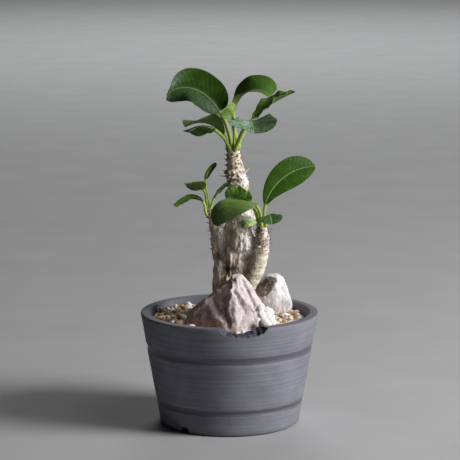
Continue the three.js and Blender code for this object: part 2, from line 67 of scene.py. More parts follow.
# each stem's centre line and radius, from foot to growing tip
MAIN_STEM = [
    (0.5, 0.5, 40, 6.5), (0.4, 0.5, 52, 9.6), (0, 0.4, 62, 8.6), (-0.6, 0.2, 70.7, 7.7),
    (0.3, 0, 77.3, 7.8), (2.6, 0, 84.5, 7.5), (3.9, 0, 92.7, 7.1), (5.2, 0, 105.4, 6.3),
    (5.2, 0, 113, 5.4), (4.1, 0, 120.8, 4.8), (3.3, 0, 127, 4.5), (2.6, 0, 131.4, 3.8),
    (2.1, 0, 135.6, 3.4), (2, 0, 138, 3.1),
]
LEFT_STEM = [
    (-1.4, 0.2, 76, 4), (-4.4, -0.2, 83.5, 3.9), (-5.9, -0.6, 91, 3.4), (-7, -0.9, 98, 2.6),
    (-9, -1.1, 104, 1.8), (-10.4, -1.2, 109, 1.5),
]
RIGHT_STEM = [
    (3, -1, 56, 5), (5.4, -2, 64, 5), (9, -3.4, 71, 4.9), (13.2, -4.8, 79, 4.6),
    (15.6, -5.6, 87.5, 4.1), (16.3, -6, 95, 3.4), (16.3, -6, 99.9, 2.9),
]

# A leaf's row, in this order. sits: angle round the tip, distance from its axis, height. turn,
# climb: compass angle and rise of the midrib, at its foot and its end. ease: how late it bends.
# stalk, blade: lengths. wide: full width. roll: turn about the midrib at the blade's foot, added
# halfway, and at its end. fold: rise of the left and right halves. cup: droop of the margins.
# full: how slowly it widens and how bluntly it ends. share: how much wider the left half is.
# wave: height, count and phase of the margin's ripples. thick: the stalk's radius. hue: 0 fresh
# green, 1 dark, below 0 pale; it also holds painted light and shade: the pale values of top_young,
# left_middle, right_drooping, right_inner and right_small_pale paint light on leaves in shade, and
# top_lowest's 1.4 paints the shade under top_large. bloom: a grey waxy film, left and right, partly
# painted sheen; on top_forward's left half it is painted reflection, on left_middle and
# right_small_pale painted light. Only some have: pale_foot, how far up the blade the stalk's colour
# runs, on top_arched also painted light on the blade's shaded foot; rooted, a shift of the stalk's
# foot; pulls, where a margin is drawn out (place, side, length, out, on, up); sheens, spots of
# painted sheen and highlight laid on as grey film (place along and across, length, width, strength).
LEAVES = {
    # top_large: its sheen spots are painted sheen and reflection
    "top_large": ((108, 2.7, 0), (101.4, 204.1), (56.4, -46.1), 2.96, 19.1, 34.5, 22.5, (-35.7, 29.6, -94.5),
        (11, 30.5), -0.04, (0.62, 0.89), 0.07, (0.3, 2, 0), 1, 0.65, (0.14, 0), dict(pale_foot=0.05,
        pulls=((0.93, 1, 0.13, 0.9, 3, 0), (0.66, -1, 0.15, 1.9, 0, 0), (0.9, -1, 0.07, -1, 0, 0)),
        painted_sheens=((0.84, -0.6, 0.1, 0.35, 0.45), (0.13, 0.5, 0.12, 0.4, 0.4)))),
    # top_arched: its long pale foot also paints light on the blade's shaded left part
    "top_arched": ((-15, 2.8, 0.4), (-19.4, -13.8), (108.2, -50.9), 1.98, 16.5, 26.7, 21, (9.4, 13.2, 27.9),
        (10.9, 38.6), 0.02, (0.85, 0.29), -0.04, (0.3, 2, 1), 1, -0.08, (0.03, 0.03), dict(pale_foot=0.85,
        pulls=((0.3, 1, 0.22, 0.4, 0, 0.8),))),
    # top_narrow: its sheen spot is painted light on the lower margin
    "top_narrow": ((50, 2.7, 0), (54.6, -20.7), (60.7, 22.7), 0.87, 15.3, 27.7, 8.7, (52.6, -4.7, -6.8), (32.8, 31.8),
        0, (1.11, 0.93), 0.13, (0.8, 3, 0.5), 1, -0.3, (0.05, 0.05), dict(painted_sheens=((0.35, -0.9, 0.35, 0.45, 1),))),
    # top_forward: the grey film on its left half and its sheen spot are painted reflection
    "top_forward": ((-68, 2.7, 0), (-48.8, -88.2), (59.2, -62.4), 2.12, 22.1, 12.7, 24.8, (-1.8, 14.4, -9.2),
        (12.6, 21.7), -0.02, (1.17, 0.59), -0.04, (0.8, 2.6, 2), 1, -0.08, (0.28, 0.65),
        dict(painted_sheens=((0.5, -0.28, 0.16, 0.2, 1),))),
    # top_young: its pale tone is partly its own and partly painted light on a leaf in shade
    "top_young": ((-90, 0.7, 0.5), (-77.1, -123.7), (71.1, -31.4), 2.06, 18.4, 18.3, 9.4, (46.1, 19.9, 2.6),
        (31.5, 15.8), 0.16, (0.56, 1.08), -0.19, (0.2, 2, 0), 0.65, -1.1, (0.1, 0.1), {}),
    "top_low_pale": ((180, 2.7, 0), (208.9, 212.6), (84.4, -24), 0.87, 6.7, 25.2, 19.7, (-20.3, 24.2, 1.2),
        (6.5, 14.8), -0.07, (1.07, 0.72), 0.08, (0.4, 2, 1), 0.95, -0.55, (0.06, 0.06), {}),
    # top_lowest: its dark tone is painted shade under top_large
    "top_lowest": ((-128, 2.8, -0.2), (222.3, 233.5), (61.4, -21.6), 1.02, 14.3, 20.5, 11.7, (-72.8, 34.2, -15.8),
        (-14.1, -10.7), 0.14, (1.03, 0.38), -0.03, (0.12, 2, 0), 0.9, 1.4, (0, 0), {}),
    "left_upright": ((70, 1.8, 0.2), (0.5, 35.8), (106.3, 7.3), 2.44, 12.9, 10.8, 4.3, (71.2, 19.4, 92.5),
        (38.2, 6.7), 0.09, (0.8, 0.61), 0.05, (0.1, 1, 0), 0.65, 0.3, (0, 0), {}),
    # left_middle: its pale tone and grey film are painted light on a leaf in shade
    "left_middle": ((178, 1.6, 0.2), (-145.6, -153.9), (108.2, -16.9), 0.98, 8.2, 12.2, 12, (44.8, 10.5, -8.6),
        (-1.5, 2.2), 0.16, (1.13, 0.93), 0.03, (0.3, 2, 0), 0.6, -1, (0.4, 0.4), {}),
    "left_drooping": ((225, 2.4, -2.2), (237.6, 195.1), (95, -50.9), 0.77, 4.5, 19.8, 5, (44.2, 0.1, 46.9),
        (17.4, 14.6), 0.38, (1.21, 0.42), -0.1, (0.3, 2, 1), 0.6, 0.1, (0.4, 0.4), {}),
    "left_inner": ((-30, 1.4, 0.1), (-59.5, -17.1), (62.5, 32.7), 1.41, 4.7, 12.1, 4.8, (22.8, 11.2, -4.3),
        (-8.7, 36.7), 0.36, (1.36, 0.65), 0.16, (0.2, 2, 0), 0.6, 0.4, (0, 0), {}),
    "right_large": ((35, 2, 0.4), (19.3, 27.7), (109.7, -5.6), 0.77, 8.3, 37, 15.3, (53.7, 20.4, 48.1), (22.8, 17),
        0.21, (1.1, 0.71), 0.03, (0.25, 1.5, 0), 0.85, 0.4, (0, 0), {}),
    # right_drooping, right_inner and right_small_pale: their pale tones, and right_small_pale's grey film, are
    # painted light on leaves in shade
    "right_drooping": ((-105, 2.2, 0.4), (-107.4, -148.1), (100.3, -52.6), 0.65, 11.7, 33.8, 23.4, (-2.8, -12.4, 8),
        (5.5, -8.5), -0.05, (1.23, 0.55), -0.02, (0.3, 1.5, 2), 0.85, -0.6, (0, 0.04), {}),
    "right_inner": ((175, 2, 0), (255.9, 192.7), (78.8, 8.8), 0.82, 13.7, 16.7, 11.5, (31.3, -2.2, 46), (-0.5, -6.9),
        -0.1, (0.9, 0.48), -0.01, (0.7, 3, 0), 0.8, -1.25, (0, 0), {}),
    "right_small_pale": ((-150, 5.2, -2.4), (-95.3, -122.3), (94.9, -52.9), 0.83, 7, 12.7, 7.9, (-5.5, -13.1, 27.6),
        (4.2, 0.9), 0.32, (0.92, 0.54), 0.17, (0.35, 2, 0), 0.6, -3, (0.5, 0.5), dict(rooted=(2.4, 1.2, 2.2))),
    "right_small_round": ((-40, 2.2, 0), (-67.5, -79.2), (82.5, -72.6), 1.16, 8.3, 7.2, 12, (16.1, -3.9, 13.8),
        (12.8, 17.1), 0.13, (0.97, 0.7), -0.08, (0.4, 2, 1), 0.7, 0.2, (0.15, 0.15), {}),
}


# ---- shader sums ----
def written(how, turned=False):
    """A node's sum, written as an operator between wires and numbers."""
    return lambda a, b: a.sum(how, b, a) if turned else a.sum(how, a, b)


class Wire:
    """One socket of a finish, so that masks can be written as sums."""

    def __init__(self, finish, socket):
        self.finish, self.socket = finish, socket

    def sum(self, how, a, b=0.0):
        return self.finish.add("ShaderNodeMath", {"operation": how}, {0: a, 1: b})

    __add__ = __radd__ = written("ADD")
    __sub__, __rsub__ = written("SUBTRACT"), written("SUBTRACT", True)
    __mul__ = __rmul__ = written("MULTIPLY")
    __truediv__ = written("DIVIDE")

    def size(self):
        return self.sum("ABSOLUTE", self)

    def saw(self):
        return self.sum("FRACT", self)


class Finish:
    """A surface finish built from nodes round one Principled shader."""

    def __init__(self, name, **fixed):
        self.mat = bpy.data.materials.new(name)
        self.mat.use_nodes = True
        self.tree = self.mat.node_tree
        self.shader = self.tree.nodes["Principled BSDF"]
        for socket, value in fixed.items():
            self.shader.inputs[socket.replace("_", " ")].default_value = value

    def add(self, kind, settings, sockets, out=0):
        n = self.tree.nodes.new(kind)
        for key, value in settings.items():
            if key == "stops":
                ramp = n.color_ramp.elements
                while len(ramp) < len(value):
                    ramp.new(0.5)
                for stop, (place, colour) in zip(ramp, value):
                    stop.position, stop.color = place, (*colour, 1)
            else:
                setattr(n, key, value)
        for key, value in sockets.items():
            if isinstance(value, Wire):
                self.tree.links.new(value.socket, n.inputs[key])
            else:
                n.inputs[key].default_value = value
        return Wire(self, n.outputs[out])

    def place(self, *scale):
        """Object coordinates in millimetres, stretched by a scale for each axis."""
        here = self.add("ShaderNodeTexCoord", {}, {}, "Object")
        grow = tuple(1000 * s for s in scale or (1, 1, 1))
        return self.add("ShaderNodeMapping", {}, {"Vector": here, "Scale": grow})

    def height(self):
        return self.add("ShaderNodeSeparateXYZ", {}, {"Vector": self.place()}, "Z")

    def cloud(self, scale, detail, rough=0.55, vector=None, twist=0.0):
        sockets = {"Scale": scale, "Detail": detail, "Roughness": rough, "Distortion": twist}
        return self.add("ShaderNodeTexNoise", {}, {"Vector": vector or self.place(), **sockets}, "Fac")

    def cells(self, scale):
        """Distance to the edge of the nearest cell."""
        sockets = {"Vector": self.place(), "Scale": scale}
        return self.add("ShaderNodeTexVoronoi", {"feature": "DISTANCE_TO_EDGE"}, sockets, "Distance")

    def rise(self, value, low, high):
        """0 below low, 1 above high, smooth between."""
        sockets = {"Value": value, "From Min": low, "From Max": high}
        return self.add("ShaderNodeMapRange", {"interpolation_type": "SMOOTHSTEP"}, sockets)

    def notes(self, *names):
        return [self.add("ShaderNodeAttribute", {"attribute_name": n}, {}, "Fac") for n in names]

    def ramp(self, value, *stops):
        return self.add("ShaderNodeValToRGB", {"stops": stops}, {0: value}, "Color")

    def mix(self, amount, a, b):
        a, b = (c if isinstance(c, Wire) else (*c, 1) for c in (a, b))
        return self.add("ShaderNodeMix", {"data_type": "RGBA"}, {0: amount, 6: a, 7: b}, 2)

    def coats(self, base, *coats):
        """Colours laid over a base; each is a value, its rise from low to high, how much and the colour."""
        for value, low, high, much, colour in coats:
            base = self.mix(self.rise(value, low, high) * much, base, colour)
        return base

    def feed(self, **wires):
        for key, wire in wires.items():
            self.tree.links.new(wire.socket, self.shader.inputs[key.replace("_", " ")])

    def done(self, base, rough, *layers, **more):
        """Colour and roughness, then bumps: each layer is a height and its depth in millimetres."""
        self.feed(Base_Color=base, Roughness=rough, **more)
        normal = None
        for height, depth in layers:
            sockets = {"Height": height, "Distance": depth * MM, "Strength": 1.0}
            if normal:
                sockets["Normal"] = normal
            normal = self.add("ShaderNodeBump", {}, sockets)
        if normal:
            self.feed(Normal=normal)
        return self


# ---- mesh helpers ----
def pick(*objs):
    bpy.ops.object.select_all(action="DESELECT")
    for o in objs:
        o.select_set(True)
    bpy.context.view_layer.objects.active = objs[0]
    return objs[0]


def primitive(add, **settings):
    """One of Blender's own shapes, with its place and turn taken up into its points."""
    bpy.ops.object.select_all(action="DESELECT")
    add(**settings)
    bpy.ops.object.transform_apply()
    return bpy.context.object


def points(obj):
    flat = np.empty(len(obj.data.vertices) * 3)
    obj.data.vertices.foreach_get("co", flat)
    return flat.reshape(-1, 3) / MM


def move_points(obj, where):
    obj.data.vertices.foreach_set("co", (np.asarray(where) * MM).ravel())
    obj.data.update()


def notes(obj, top=1.0, **layers):
    """Values from 0 to top, one for each point, kept on the mesh for the finishes."""
    for name, values in layers.items():
        layer = obj.data.attributes.new(name, "FLOAT", "POINT")
        layer.data.foreach_set("value", np.clip(values, 0, top).astype(np.float32))


def modify(obj, kind, **settings):
    pick(obj)
    m = obj.modifiers.new(kind.lower(), kind)
    for key, value in settings.items():
        setattr(m, key, value)
    bpy.ops.object.modifier_apply(modifier=m.name)


ALL = (bpy.ops.mesh.select_all, {"action": "SELECT"})
NONE = (bpy.ops.mesh.select_all, {"action": "DESELECT"})
MERGE = (bpy.ops.mesh.remove_doubles, {"threshold": 1e-6})
OUTWARD = (bpy.ops.mesh.normals_make_consistent, {"inside": False})


def edit(obj, *steps):
    """Edit-mode operators with their settings, one after the other, from the whole mesh on."""
    pick(obj)
    bpy.ops.object.mode_set(mode="EDIT")
    for step, settings in (ALL, *steps):
        step(**settings)
    bpy.ops.object.mode_set(mode="OBJECT")


def remesh(obj, voxel, factor, turns):
    """One even skin; crumbs that don't hang together with the highest point are dropped."""
    modify(obj, "REMESH", mode="VOXEL", voxel_size=voxel * MM)
    edit(obj, NONE)
    obj.data.vertices[int(points(obj)[:, 2].argmax())].select = True
    bpy.ops.object.mode_set(mode="EDIT")
    bpy.ops.mesh.select_linked()
    bpy.ops.mesh.select_all(action="INVERT")
    bpy.ops.mesh.delete(type="VERT")
    bpy.ops.object.mode_set(mode="OBJECT")
    modify(obj, "SMOOTH", factor=factor, iterations=turns)


def join(name, *objs):
    pick(*objs)
    bpy.ops.object.join()
    obj = bpy.context.view_layer.objects.active
    obj.name = obj.data.name = name
    return obj


def soften(obj, angle=None):
    pick(obj)
    if angle is None:
        bpy.ops.object.shade_smooth()
    else:
        bpy.ops.object.shade_smooth_by_angle(angle=radians(angle))


def hand_in(obj, name, slot, finish, *nodes):
    obj.name = obj.data.name = name
    if finish:
        wear(obj, finish)
    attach(obj, "root")
    if nodes:
        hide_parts(*nodes)
    return obj


def wear(obj, finish):
    obj.data.materials.clear()
    obj.data.materials.append(finish.mat)


def new_object(name, data):
    obj = bpy.data.objects.new(name, data)
    bpy.context.scene.collection.objects.link(obj)
    return obj


def gather(name, parts):
    """One object from many small parts, each given as its points and its faces."""
    polys, count = [], 0
    for p, faces in parts:
        polys += [tuple(int(v) + count for v in f) for f in faces]
        count += len(p)
    mesh = bpy.data.meshes.new(name)
    mesh.from_pydata([tuple(v) for v in np.vstack([p for p, _ in parts]) * MM], [], polys)
    return new_object(name, mesh)


def ball(fineness):
    return primitive(bpy.ops.mesh.primitive_ico_sphere_add, subdivisions=fineness, radius=1)


def taken(obj):
    """A pattern's points, in its own units, and its faces; its object goes."""
    shape = points(obj) * MM, [tuple(p.vertices) for p in obj.data.polygons]
    bpy.data.objects.remove(obj, do_unlink=True)
    return shape


def fade(v, low, high):
    """0 below low, 1 above high, smooth between."""
    x = np.clip((v - low) / (high - low), 0, 1)
    return x * x * (3 - 2 * x)


def lumps(where, scale, seed=0.0):
    """Smooth noise from -1 to 1 at each point."""
    return np.array([noise.noise(Vector(p)) for p in where / scale + seed])


# ---- finishes ----
def clay_finish():
    f = Finish("unglazed_clay", Specular_IOR_Level=0.32, Coat_Roughness=0.45)
    z = f.height()
    turned = f.cloud(1.0, 4, 0.6, f.place(0.012, 0.012, 1.1))
    fine = f.cloud(1.0, 3, 0.6, f.place(0.03, 0.03, 3.4))
    blotch = f.cloud(0.06, 4, 0.6)
    grit = f.cloud(2.6, 2, 0.5)
    base = f.ramp(blotch, (0.3, (0.148, 0.149, 0.172)), (0.55, (0.192, 0.193, 0.223)), (0.75, (0.236, 0.237, 0.272)))
    base = f.coats(
        base, (turned, 0.35, 0.7, 0.4, (0.27, 0.273, 0.32)), (fine, 0.6, 0.78, 0.25, (0.13, 0.127, 0.155)),
        (grit, 0.66, 0.8, 0.22, (0.38, 0.38, 0.42)))
    edge = z + f.cloud(0.4, 2, 0.5, f.place(1, 1, 0.2)) * 0.7
    low, high = [f.rise(edge, a, a + 0.4) * (1 - f.rise(edge, b, b + 0.4)) for a, b in ((10.5, 13.5), (37.7, 41.2))]
    band = low + high
    # painted shade: the flat top of the lip is darker
    base = f.mix(f.rise(z, 55.7, 56.3) * 0.6, base, (0.085, 0.086, 0.1))
    stain = f.mix(f.rise(turned, 0.3, 0.75), (0.07, 0.062, 0.08), (0.125, 0.114, 0.142))
    base = f.mix(band * 0.86, base, stain)
    # painted shade: the wall's inside is darker
    wide = f.add("ShaderNodeVectorMath", {"operation": "LENGTH"}, {0: f.place(1, 1, 0)}, "Value")
    base = f.mix(f.rise(wide - 0.1738 * z, 31.6, 31.0) * 0.45, base, (0.085, 0.086, 0.1))
    rough = 0.66 + 0.16 * blotch - 0.26 * band
    return f.done(base, rough, (turned, 0.22), (fine, 0.1), (grit, 0.06), Coat_Weight=band * 0.3)


def break_finish():
    f = Finish("broken_clay", Specular_IOR_Level=0.5)
    shell = f.cloud(0.3, 3, 0.5, twist=0.3)
    grain = f.cloud(1.5, 3, 0.6)
    base = f.ramp(shell, (0.35, (0.02, 0.021, 0.032)), (0.5, (0.045, 0.047, 0.066)), (0.68, (0.13, 0.135, 0.17)))
    # painted highlights: pale blue-grey flecks stand for glints on the glossy break
    base = f.mix(f.rise(grain, 0.56, 0.66) * 0.55, base, (0.3, 0.32, 0.4))
    return f.done(base, 0.3 + 0.3 * shell, (shell, 0.4), (grain, 0.12))


def soil_finish():
    f = Finish("potting_soil")
    crumb = f.cloud(0.9, 5, 0.65)
    base = f.ramp(crumb, (0.3, (0.018, 0.012, 0.008)), (0.6, (0.06, 0.042, 0.028)), (0.8, (0.13, 0.1, 0.07)))
    return f.done(base, 0.85 + 0.1 * crumb, (crumb, 0.8))


def gravel_finish():
    f = Finish("mixed_gravel", Specular_IOR_Level=0.3)
    (tint,) = f.notes("tint")
    base = f.ramp(
        tint, (0.0, (0.3, 0.19, 0.1)), (0.14, (0.54, 0.31, 0.13)), (0.3, (0.66, 0.49, 0.3)),
        (0.42, (0.48, 0.4, 0.3)), (0.54, (0.85, 0.72, 0.57)), (0.74, (0.94, 0.87, 0.77)),
        (0.92, (0.95, 0.91, 0.85)), (1.0, (0.52, 0.48, 0.43)))
    speck = f.cloud(1.5, 4, 0.65)
    base = f.coats(
        base, (speck, 0.5, 0.7, 0.42, (0.15, 0.09, 0.05)), (speck, 0.48, 0.3, 0.35, (0.82, 0.76, 0.66)))
    return f.done(base, 0.7 + 0.25 * speck, (speck, 0.25))


def dark_rock_finish():
    f = Finish("dark_rock", Specular_IOR_Level=0.3)
    tone, white = f.notes("tone", "white")
    streak = f.cloud(0.6, 5, 0.62, f.place(1.0, 1.0, 0.62), 0.8)
    grain = f.cloud(1.6, 4, 0.62)
    wide = f.cloud(0.2, 3, 0.6)
    dark = f.ramp(streak, (0.32, (0.32, 0.17, 0.15)), (0.48, (0.55, 0.355, 0.325)), (0.66, (0.74, 0.58, 0.555)))
    pale = f.ramp(streak, (0.3, (0.42, 0.325, 0.31)), (0.46, (0.61, 0.53, 0.52)), (0.66, (0.74, 0.69, 0.685)))
    # tone also carries painted light on the ridges and painted shade in the grooves
    base = f.coats(
        f.mix(tone, dark, pale), (grain, 0.56, 0.74, 0.4, (0.78, 0.7, 0.68)),
        (grain, 0.44, 0.28, 0.35, (0.22, 0.14, 0.12)), (wide, 0.5, 0.68, 0.35, (0.5, 0.36, 0.33)))
    base = f.mix(white, base, f.ramp(grain, (0.3, (0.6, 0.55, 0.52)), (0.56, (0.86, 0.83, 0.82))))
    return f.done(base, 0.65 + 0.25 * grain, (streak, 0.35), (grain, 0.25))


def pale_rock_finish():
    f = Finish("pale_rock", Specular_IOR_Level=0.3)
    (patch,) = f.notes("patch")
    streak = f.cloud(0.4, 5, 0.65, f.place(1.0, 1.0, 0.4), 0.6)
    grain = f.cloud(1.5, 5, 0.65)
    base = f.ramp(streak, (0.3, (0.4, 0.36, 0.34)), (0.45, (0.65, 0.625, 0.625)), (0.6, (0.78, 0.765, 0.775)))
    base = f.mix(f.rise(grain, 0.45, 0.3) * 0.4, base, (0.35, 0.3, 0.26))
    earth = f.ramp(grain, (0.35, (0.06, 0.042, 0.03)), (0.5, (0.14, 0.105, 0.08)), (0.68, (0.36, 0.3, 0.26)))
    base = f.mix(patch, base, earth)
    return f.done(base, 0.7 + 0.25 * grain, (streak, 0.5), (grain, 0.35))


def bark_finish():
    f = Finish("corky_bark", Specular_IOR_Level=0.2)
    crevice, cork, young, green, olive = f.notes("crevice", "cork", "young", "green", "olive")
    fibre = f.cloud(1.5, 5, 0.6, f.place(1, 1, 0.16), 0.3)
    fleck = f.cloud(1.4, 4, 0.6)
    level = f.cloud(0.9, 3, 0.6, f.place(0.25, 0.25, 1.2), 0.6)
    old = f.ramp(fibre, (0.34, (0.46, 0.325, 0.24)), (0.48, (0.8, 0.63, 0.49)), (0.62, (0.95, 0.83, 0.72)))
    # deep: dark olive-brown bark, also painted shade where the olive note rises
    deep = f.ramp(fibre, (0.32, (0.12, 0.088, 0.055)), (0.52, (0.3, 0.235, 0.155)), (0.7, (0.5, 0.42, 0.3)))
    cream = f.ramp(fleck, (0.36, (0.32, 0.22, 0.13)), (0.48, (0.66, 0.55, 0.39)), (0.62, (0.9, 0.82, 0.68)))
    white = f.ramp(fleck, (0.32, (0.72, 0.6, 0.52)), (0.44, (0.93, 0.85, 0.79)), (0.56, (0.97, 0.93, 0.89)))
    smooth = f.ramp(level, (0.34, (0.42, 0.34, 0.22)), (0.46, (0.68, 0.62, 0.47)), (0.64, (0.84, 0.8, 0.68)))
    # cork: the white cork and pale bark, with painted light on lit sides and on shaded spots
    base = f.mix(cork, f.mix(green, f.mix(young, f.mix(olive, old, deep), cream), smooth), white)
    # dark marks and painted shade, laid over all
    base = f.mix(crevice, base, (0.05, 0.03, 0.023))
    return f.done(base, 0.7 + 0.22 * fleck, (fibre, 0.4), (fleck, 0.22))


def spine_finish():
    f = Finish("spines", Specular_IOR_Level=0.3)
    reach, pale = f.notes("reach", "pale")
    fleck = f.cloud(2.0, 2, 0.5)
    dark = f.ramp(reach, (0.0, (0.3, 0.2, 0.15)), (0.4, (0.14, 0.075, 0.06)), (1.0, (0.05, 0.024, 0.024)))
    light = f.ramp(reach, (0.0, (0.74, 0.66, 0.62)), (0.6, (0.88, 0.82, 0.8)), (1.0, (0.5, 0.32, 0.3)))
    return f.done(f.mix(fleck * 0.2, f.mix(pale, dark, light), (0.5, 0.42, 0.36)), 0.5 + 0.2 * fleck)


def leaf_finish(name, age_and_light, sap):
    """The tone: 0 a fresh leaf, 1 a dark old one, below 0 a pale young one; below 0 it also paints light on leaves in
    shade, and above 1 it paints shade. sap: how pale the stalk is.
    """
    f = Finish(name, Specular_IOR_Level=0.06, Coat_Roughness=0.3, Coat_IOR=1.35)
    along, across, edge, under, stalk, bloom = f.notes("along", "across", "edge", "under", "stalk", "bloom")
    dark, fresh, pale = (0.018, 0.045, 0.005), (0.026, 0.074, 0.003), (0.2, 0.31, 0.075)
    deep = [max(0.003, d + (g - d) * (1 - age_and_light)) for d, g in zip(dark, fresh)] if age_and_light >= 0 else [
        g + (p - g) * -age_and_light for g, p in zip(fresh, pale)]
    light = [min(0.85, 1.6 * c) for c in deep]
    patch = f.cloud(0.22, 3, 0.55)
    fine = f.cloud(1.8, 3, 0.6)
    base = f.mix(f.rise(patch, 0.32, 0.72), deep, light)
    base = f.mix(f.rise(fine, 0.5, 0.72) * 0.35, base, [0.6 * c for c in deep])
    lean = along - 0.62 * across + 0.9 * (patch - 0.5)
    line = ((lean / 2.3).saw() - 0.5).size()
    vein = f.rise(line, 0.44, 0.5) * (1 - stalk)
    net = f.rise(f.cells(1.4), 0.06, 0.0) * (1 - stalk)
    base = f.mix(vein * 0.5, base, (0.085, 0.155, 0.035))
    base = f.mix(net * 0.12, base, (0.07, 0.13, 0.03))
    # the grey waxy film and painted sheen, laid over the green in dapples
    dapple = f.rise(f.cloud(0.75, 3, 0.6), 0.38, 0.58)
    base = f.mix(bloom * (0.3 + 0.7 * dapple), base, (0.3, 0.4, 0.34))
    rib = f.rise(across - 0.36 + 0.007 * along, 0.1, -0.1)
    base = f.mix(rib * 0.8, base, (0.27, 0.37, 0.12))
    base = f.mix(f.rise(edge, 0.95, 1.0) * 0.4, base, (0.22, 0.3, 0.1))
    base = f.mix(under * 0.3 * (1 - stalk), base, (0.07, 0.115, 0.035))
    foot = f.mix(f.cloud(0.6, 2, 0.5), [sap * c for c in (0.21, 0.3, 0.055)], [sap * c for c in (0.38, 0.47, 0.13)])
    base = f.mix(f.rise(stalk, 0.3, 0.95), base, foot)
    return f.done(
        base, 0.42 + 0.14 * patch + 0.12 * under, (1 - vein, 0.08), (1 - net, 0.03), (fine, 0.05), (1 - rib, 0.1),
        Coat_Weight=0.05 * (1 - under) * (1 - stalk))


# ---- pot ----
def pot_radius(z):
    return POT_FOOT + (POT_RIM - POT_FOOT) * z / POT_HIGH


def pot_profile():
    R, inner = pot_radius, lambda z: pot_radius(z) - POT_WALL
    floor = FOOT_RECESS + POT_FLOOR
    out = [(DRAIN, FOOT_RECESS + 0.4), (DRAIN + 0.4, FOOT_RECESS), (R(0) - FOOT_RING - 0.5, FOOT_RECESS)]
    out += [(R(0) - FOOT_RING, 0.3), (R(0) - FOOT_RING + 0.4, 0.0), (R(0) - 0.9, 0.0)]
    out += [(R(0.3) - 0.3, 0.3), (R(0.9), 0.9)]
    # the bands are let in a little
    inset = {10.6: 0.32, 11.8: 0.4, 13: 0.32, 37.8: 0.32, 39.2: 0.4, 40.7: 0.32}
    heights = (3, 6, 9.6, 10.2, 10.6, 11.8, 13, 13.5, 16, 20, 24, 28, 32, 36, 37.3, 37.8, 39.2, 40.7, 41.2)
    out += [(R(z) - inset.get(z, 0), z) for z in (*heights, 44, 47, 50, 53)]
    # the lip is flat, with its corners eased
    for back, soft, a0, a1 in ((0.85, 0.85, 0, 90), (POT_WALL - 0.6, 0.6, 90, 180)):
        for a in np.radians(np.linspace(a0, a1, 7)):
            out.append((R(56) - back + soft * cos(a), POT_HIGH - soft + soft * sin(a)))
    out += [(inner(z), z) for z in (53, 50, 46, 40, 30, 20, 12)]
    out += [(inner(9) - 1.6, floor + 0.6), (inner(8) - 4, floor), (DRAIN + 0.4, floor), (DRAIN, floor - 0.4)]
    return out


def make_pot(clay, broken):
    profile = pot_profile()
    n = len(profile)
    edge = bpy.data.meshes.new("pot_profile")
    edge.from_pydata([(r * MM, 0, z * MM) for r, z in profile], [(i, (i + 1) % n) for i in range(n)], [])
    pot = new_object("pot_profile", edge)
    modify(pot, "SCREW", steps=192, render_steps=192, use_merge_vertices=True, merge_threshold=1e-6)
    edit(pot, MERGE, OUTWARD)
    # hand-thrown: the wall wavers a little
    p = points(pot)
    a, r = np.arctan2(p[:, 1], p[:, 0]), np.hypot(p[:, 0], p[:, 1])
    waver = 0.05 * np.sin(3 * a + 0.14 * p[:, 2]) + 0.035 * np.sin(2.1 * p[:, 2] + a)
    waver += 0.05 * lumps(np.c_[p[:, 0] * 0.1, p[:, 1] * 0.1, p[:, 2]], 1.2)
    grow = np.where(r > 20, 1 + (waver - 0.06) / np.maximum(r, 1), 1)
    p[:, :2] *= grow[:, None]
    move_points(pot, p)
    wear(pot, clay)
    cutters = []
    for turn in NOTCHES:
        t = radians(turn)
        mid = (POT_FOOT - 2) * MM
        spot = (mid * cos(t), mid * sin(t), 0.5 * MM)
        arch = primitive(
            bpy.ops.mesh.primitive_cylinder_add, vertices=40, radius=NOTCH_RADIUS * MM, depth=14 * MM,
            location=spot, rotation=(0, pi / 2, t))
        wear(arch, clay)
        cutters.append(arch)
    # the chip: a shell of clay is broken off the rim, deeper on the outside than on the inside
    chip = primitive(bpy.ops.mesh.primitive_uv_sphere_add, segments=112, ring_count=64, radius=1)
    q = points(chip) * MM
    shell = np.sign(q) * np.abs(q) ** [0.72, 0.9, 0.72] * CHIP_HALF
    rough = 0.5 * lumps(shell, 4.5, 5) + 0.3 * lumps(shell, 1.7, 9) + 0.14 * lumps(shell, 0.7, 14)
    scallop = 0.22 * np.cos(2.4 * np.linalg.norm(shell - [-9, 2, -4], axis=1))
    move_points(chip, shell + (rough + scallop)[:, None] * q + CHIP_AT)
    wear(chip, broken)
    for tool in (*cutters, chip):
        modify(pot, "BOOLEAN", object=tool, operation="DIFFERENCE", solver="EXACT", material_mode="TRANSFER")
        bpy.data.objects.remove(tool, do_unlink=True)
    soften(pot, 42)
    return hand_in(pot, "pot_clay", "clay", None, "pot")


# ---- stems ----
def smooth_line(rows, steps):
    """A Catmull-Rom line through the rows, with the radius drawn straight between them."""
    rows = np.array(rows, float)
    p = np.vstack([2 * rows[0] - rows[1], rows, 2 * rows[-1] - rows[-2]])
    out = []
    for s in np.linspace(0, len(rows) - 1, steps):
        i = min(int(s), len(rows) - 2)
        t = s - i
        a, b, c, d = p[i : i + 4]
        v = 0.5 * (2 * b + (c - a) * t + (2 * a - 5 * b + 4 * c - d) * t**2 + (3 * b - a - 3 * c + d) * t**3)
        v[3] = b[3] + (c[3] - b[3]) * t
        out.append(v)
    return np.array(out)


